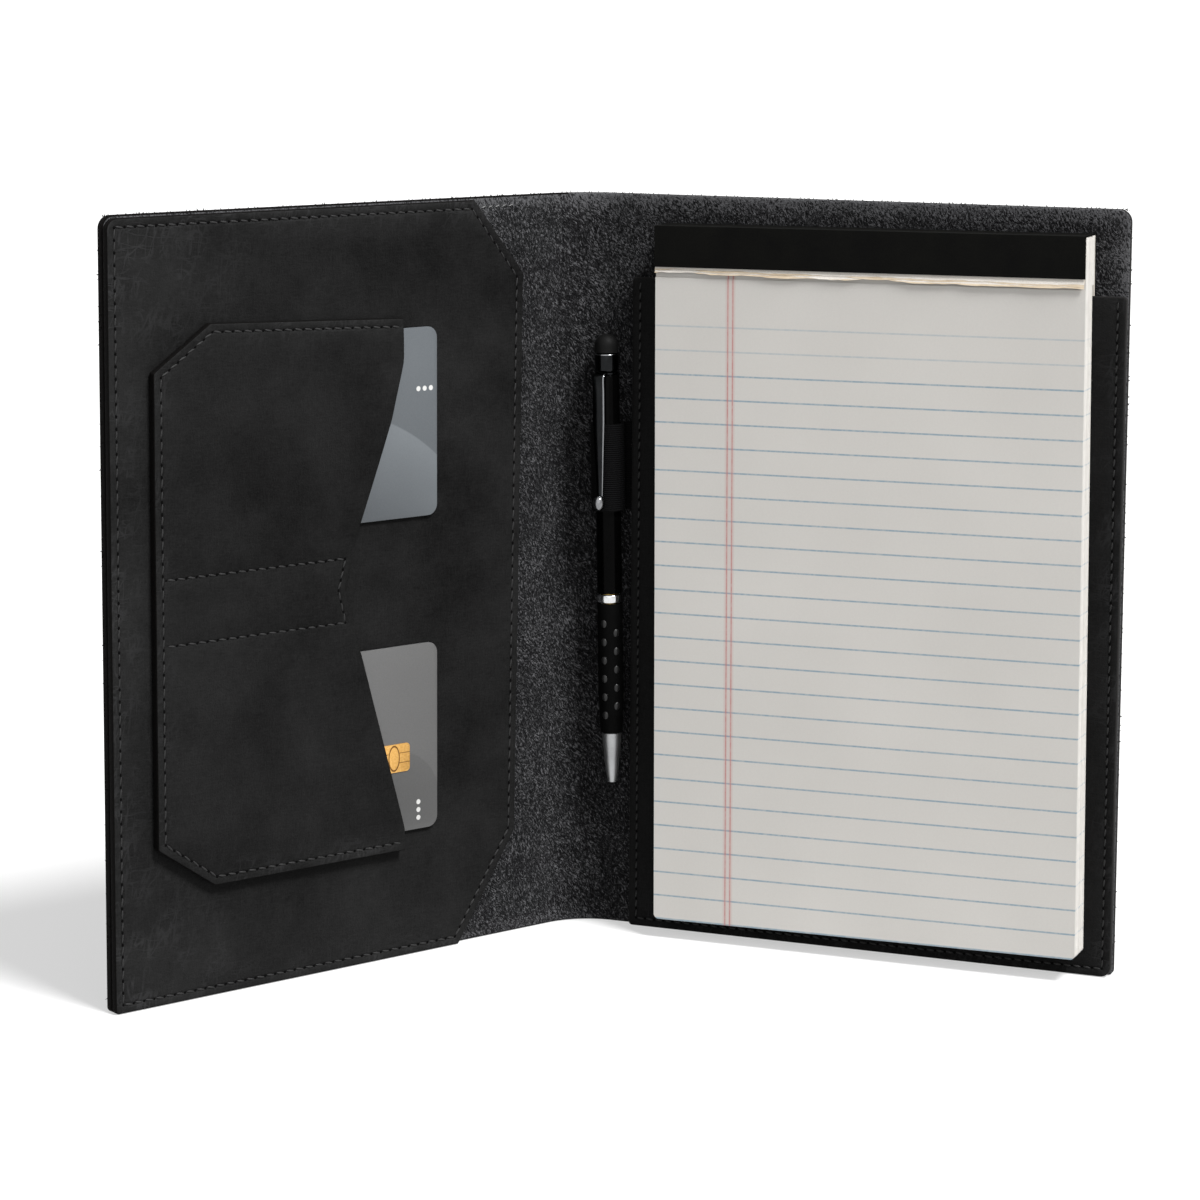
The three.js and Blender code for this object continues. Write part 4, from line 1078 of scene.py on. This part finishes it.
buildNose()
buildGrip()
buildTube("ring", "sleeveRoom", 0.35, "ring_chrome", ringChrome, "centre_ring")
buildTube("barrel", "barrelBore", 0.15, "barrel_lacquer", penBlack, "pen_barrel")
buildCollar()
buildDome()
buildClip()
buildLoop()
for node, finish in (("pen_refill", steel), ("twist_sleeve", brass)):
    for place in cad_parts[node].material_slots:
        place.material = finish
print("pen made")


def whiteToCamera(paint):  # 1 where the camera sees the surface itself or in a reflection
    rays = paint.node("ShaderNodeLightPath")
    seen = Wire(paint, rays.socket.node.outputs["Is Camera Ray"])
    for kind in ("Is Glossy Ray", "Is Transmission Ray"):
        seen = paint.maths("MAXIMUM", seen, Wire(paint, rays.socket.node.outputs[kind]))
    return seen


def buildStudio():
    studio = {"size": 60, "floorGlow": 0.5, "world": 0.3,
              "lights": [("key", 5.3, 18, (35, 0, 40)), ("fill", 0.5, 60, (62, 0, -12))]}
    bm = bmesh.new()
    bmesh.ops.create_grid(bm, x_segments=2, y_segments=2, size=studio["size"])
    mesh = bpy.data.meshes.new("floor")
    bm.to_mesh(mesh)
    bm.free()
    floor = linked("floor", mesh)
    floor.location = (0, 0, -0.0002)
    paint = Paint("paleFloor", Roughness=0.9, Specular_IOR_Level=0.0)
    seen = whiteToCamera(paint)
    mottle = paint.noise(900, 2.0)
    paint.finish(Base_Color=paint.blendOf(seen, paint.blendOf(mottle, tone(146), tone(152)), tone(249)))
    white = paint.node("ShaderNodeEmission", None, {"Color": (1, 1, 1, 1), "Strength": 1.0})
    surface = Wire(paint, paint.shader.outputs[0])
    mixed = paint.node("ShaderNodeMixShader", None, {0: seen * studio["floorGlow"], 1: surface, 2: white})
    output = next(n for n in paint.tree.nodes if n.type == "OUTPUT_MATERIAL")
    paint.feed(output.inputs["Surface"], mixed)
    mesh.materials.append(paint.material)

    sky = Sky("studio")
    strength = sky.span(whiteToCamera(sky), 0, 1, studio["world"], 1.0)
    bpy.context.scene.world = sky.finish(Color=(1, 1, 1, 1), Strength=strength)
    for name, energy, spread, turn in studio["lights"]:
        lamp = bpy.data.lights.new(name, "SUN")
        lamp.energy = energy
        lamp.angle = math.radians(spread)
        linked(name, lamp).rotation_euler = [math.radians(t) for t in turn]


def buildCamera():
    view = {"at": (-0.16309, -1.03956, 0.29043), "right": 8.859, "down": 7.831, "roll": 0.312,
            "lens": 112.72, "shift": -0.12}
    camera = bpy.data.cameras.new("camera")
    camera.lens = view["lens"]
    camera.sensor_width = 36
    camera.shift_y = view["shift"]
    camera.clip_start = 0.05
    camera.clip_end = 200
    holder = linked("camera", camera)
    holder.matrix_world = (moved(*view["at"]) @ turnAbout("Z", -view["right"])
                           @ turnAbout("X", 90 - view["down"]) @ turnAbout("Z", view["roll"]))
    bpy.context.scene.camera = holder


buildStudio()
buildCamera()
bpy.context.scene.view_settings.view_transform = "Standard"
print("scene made")
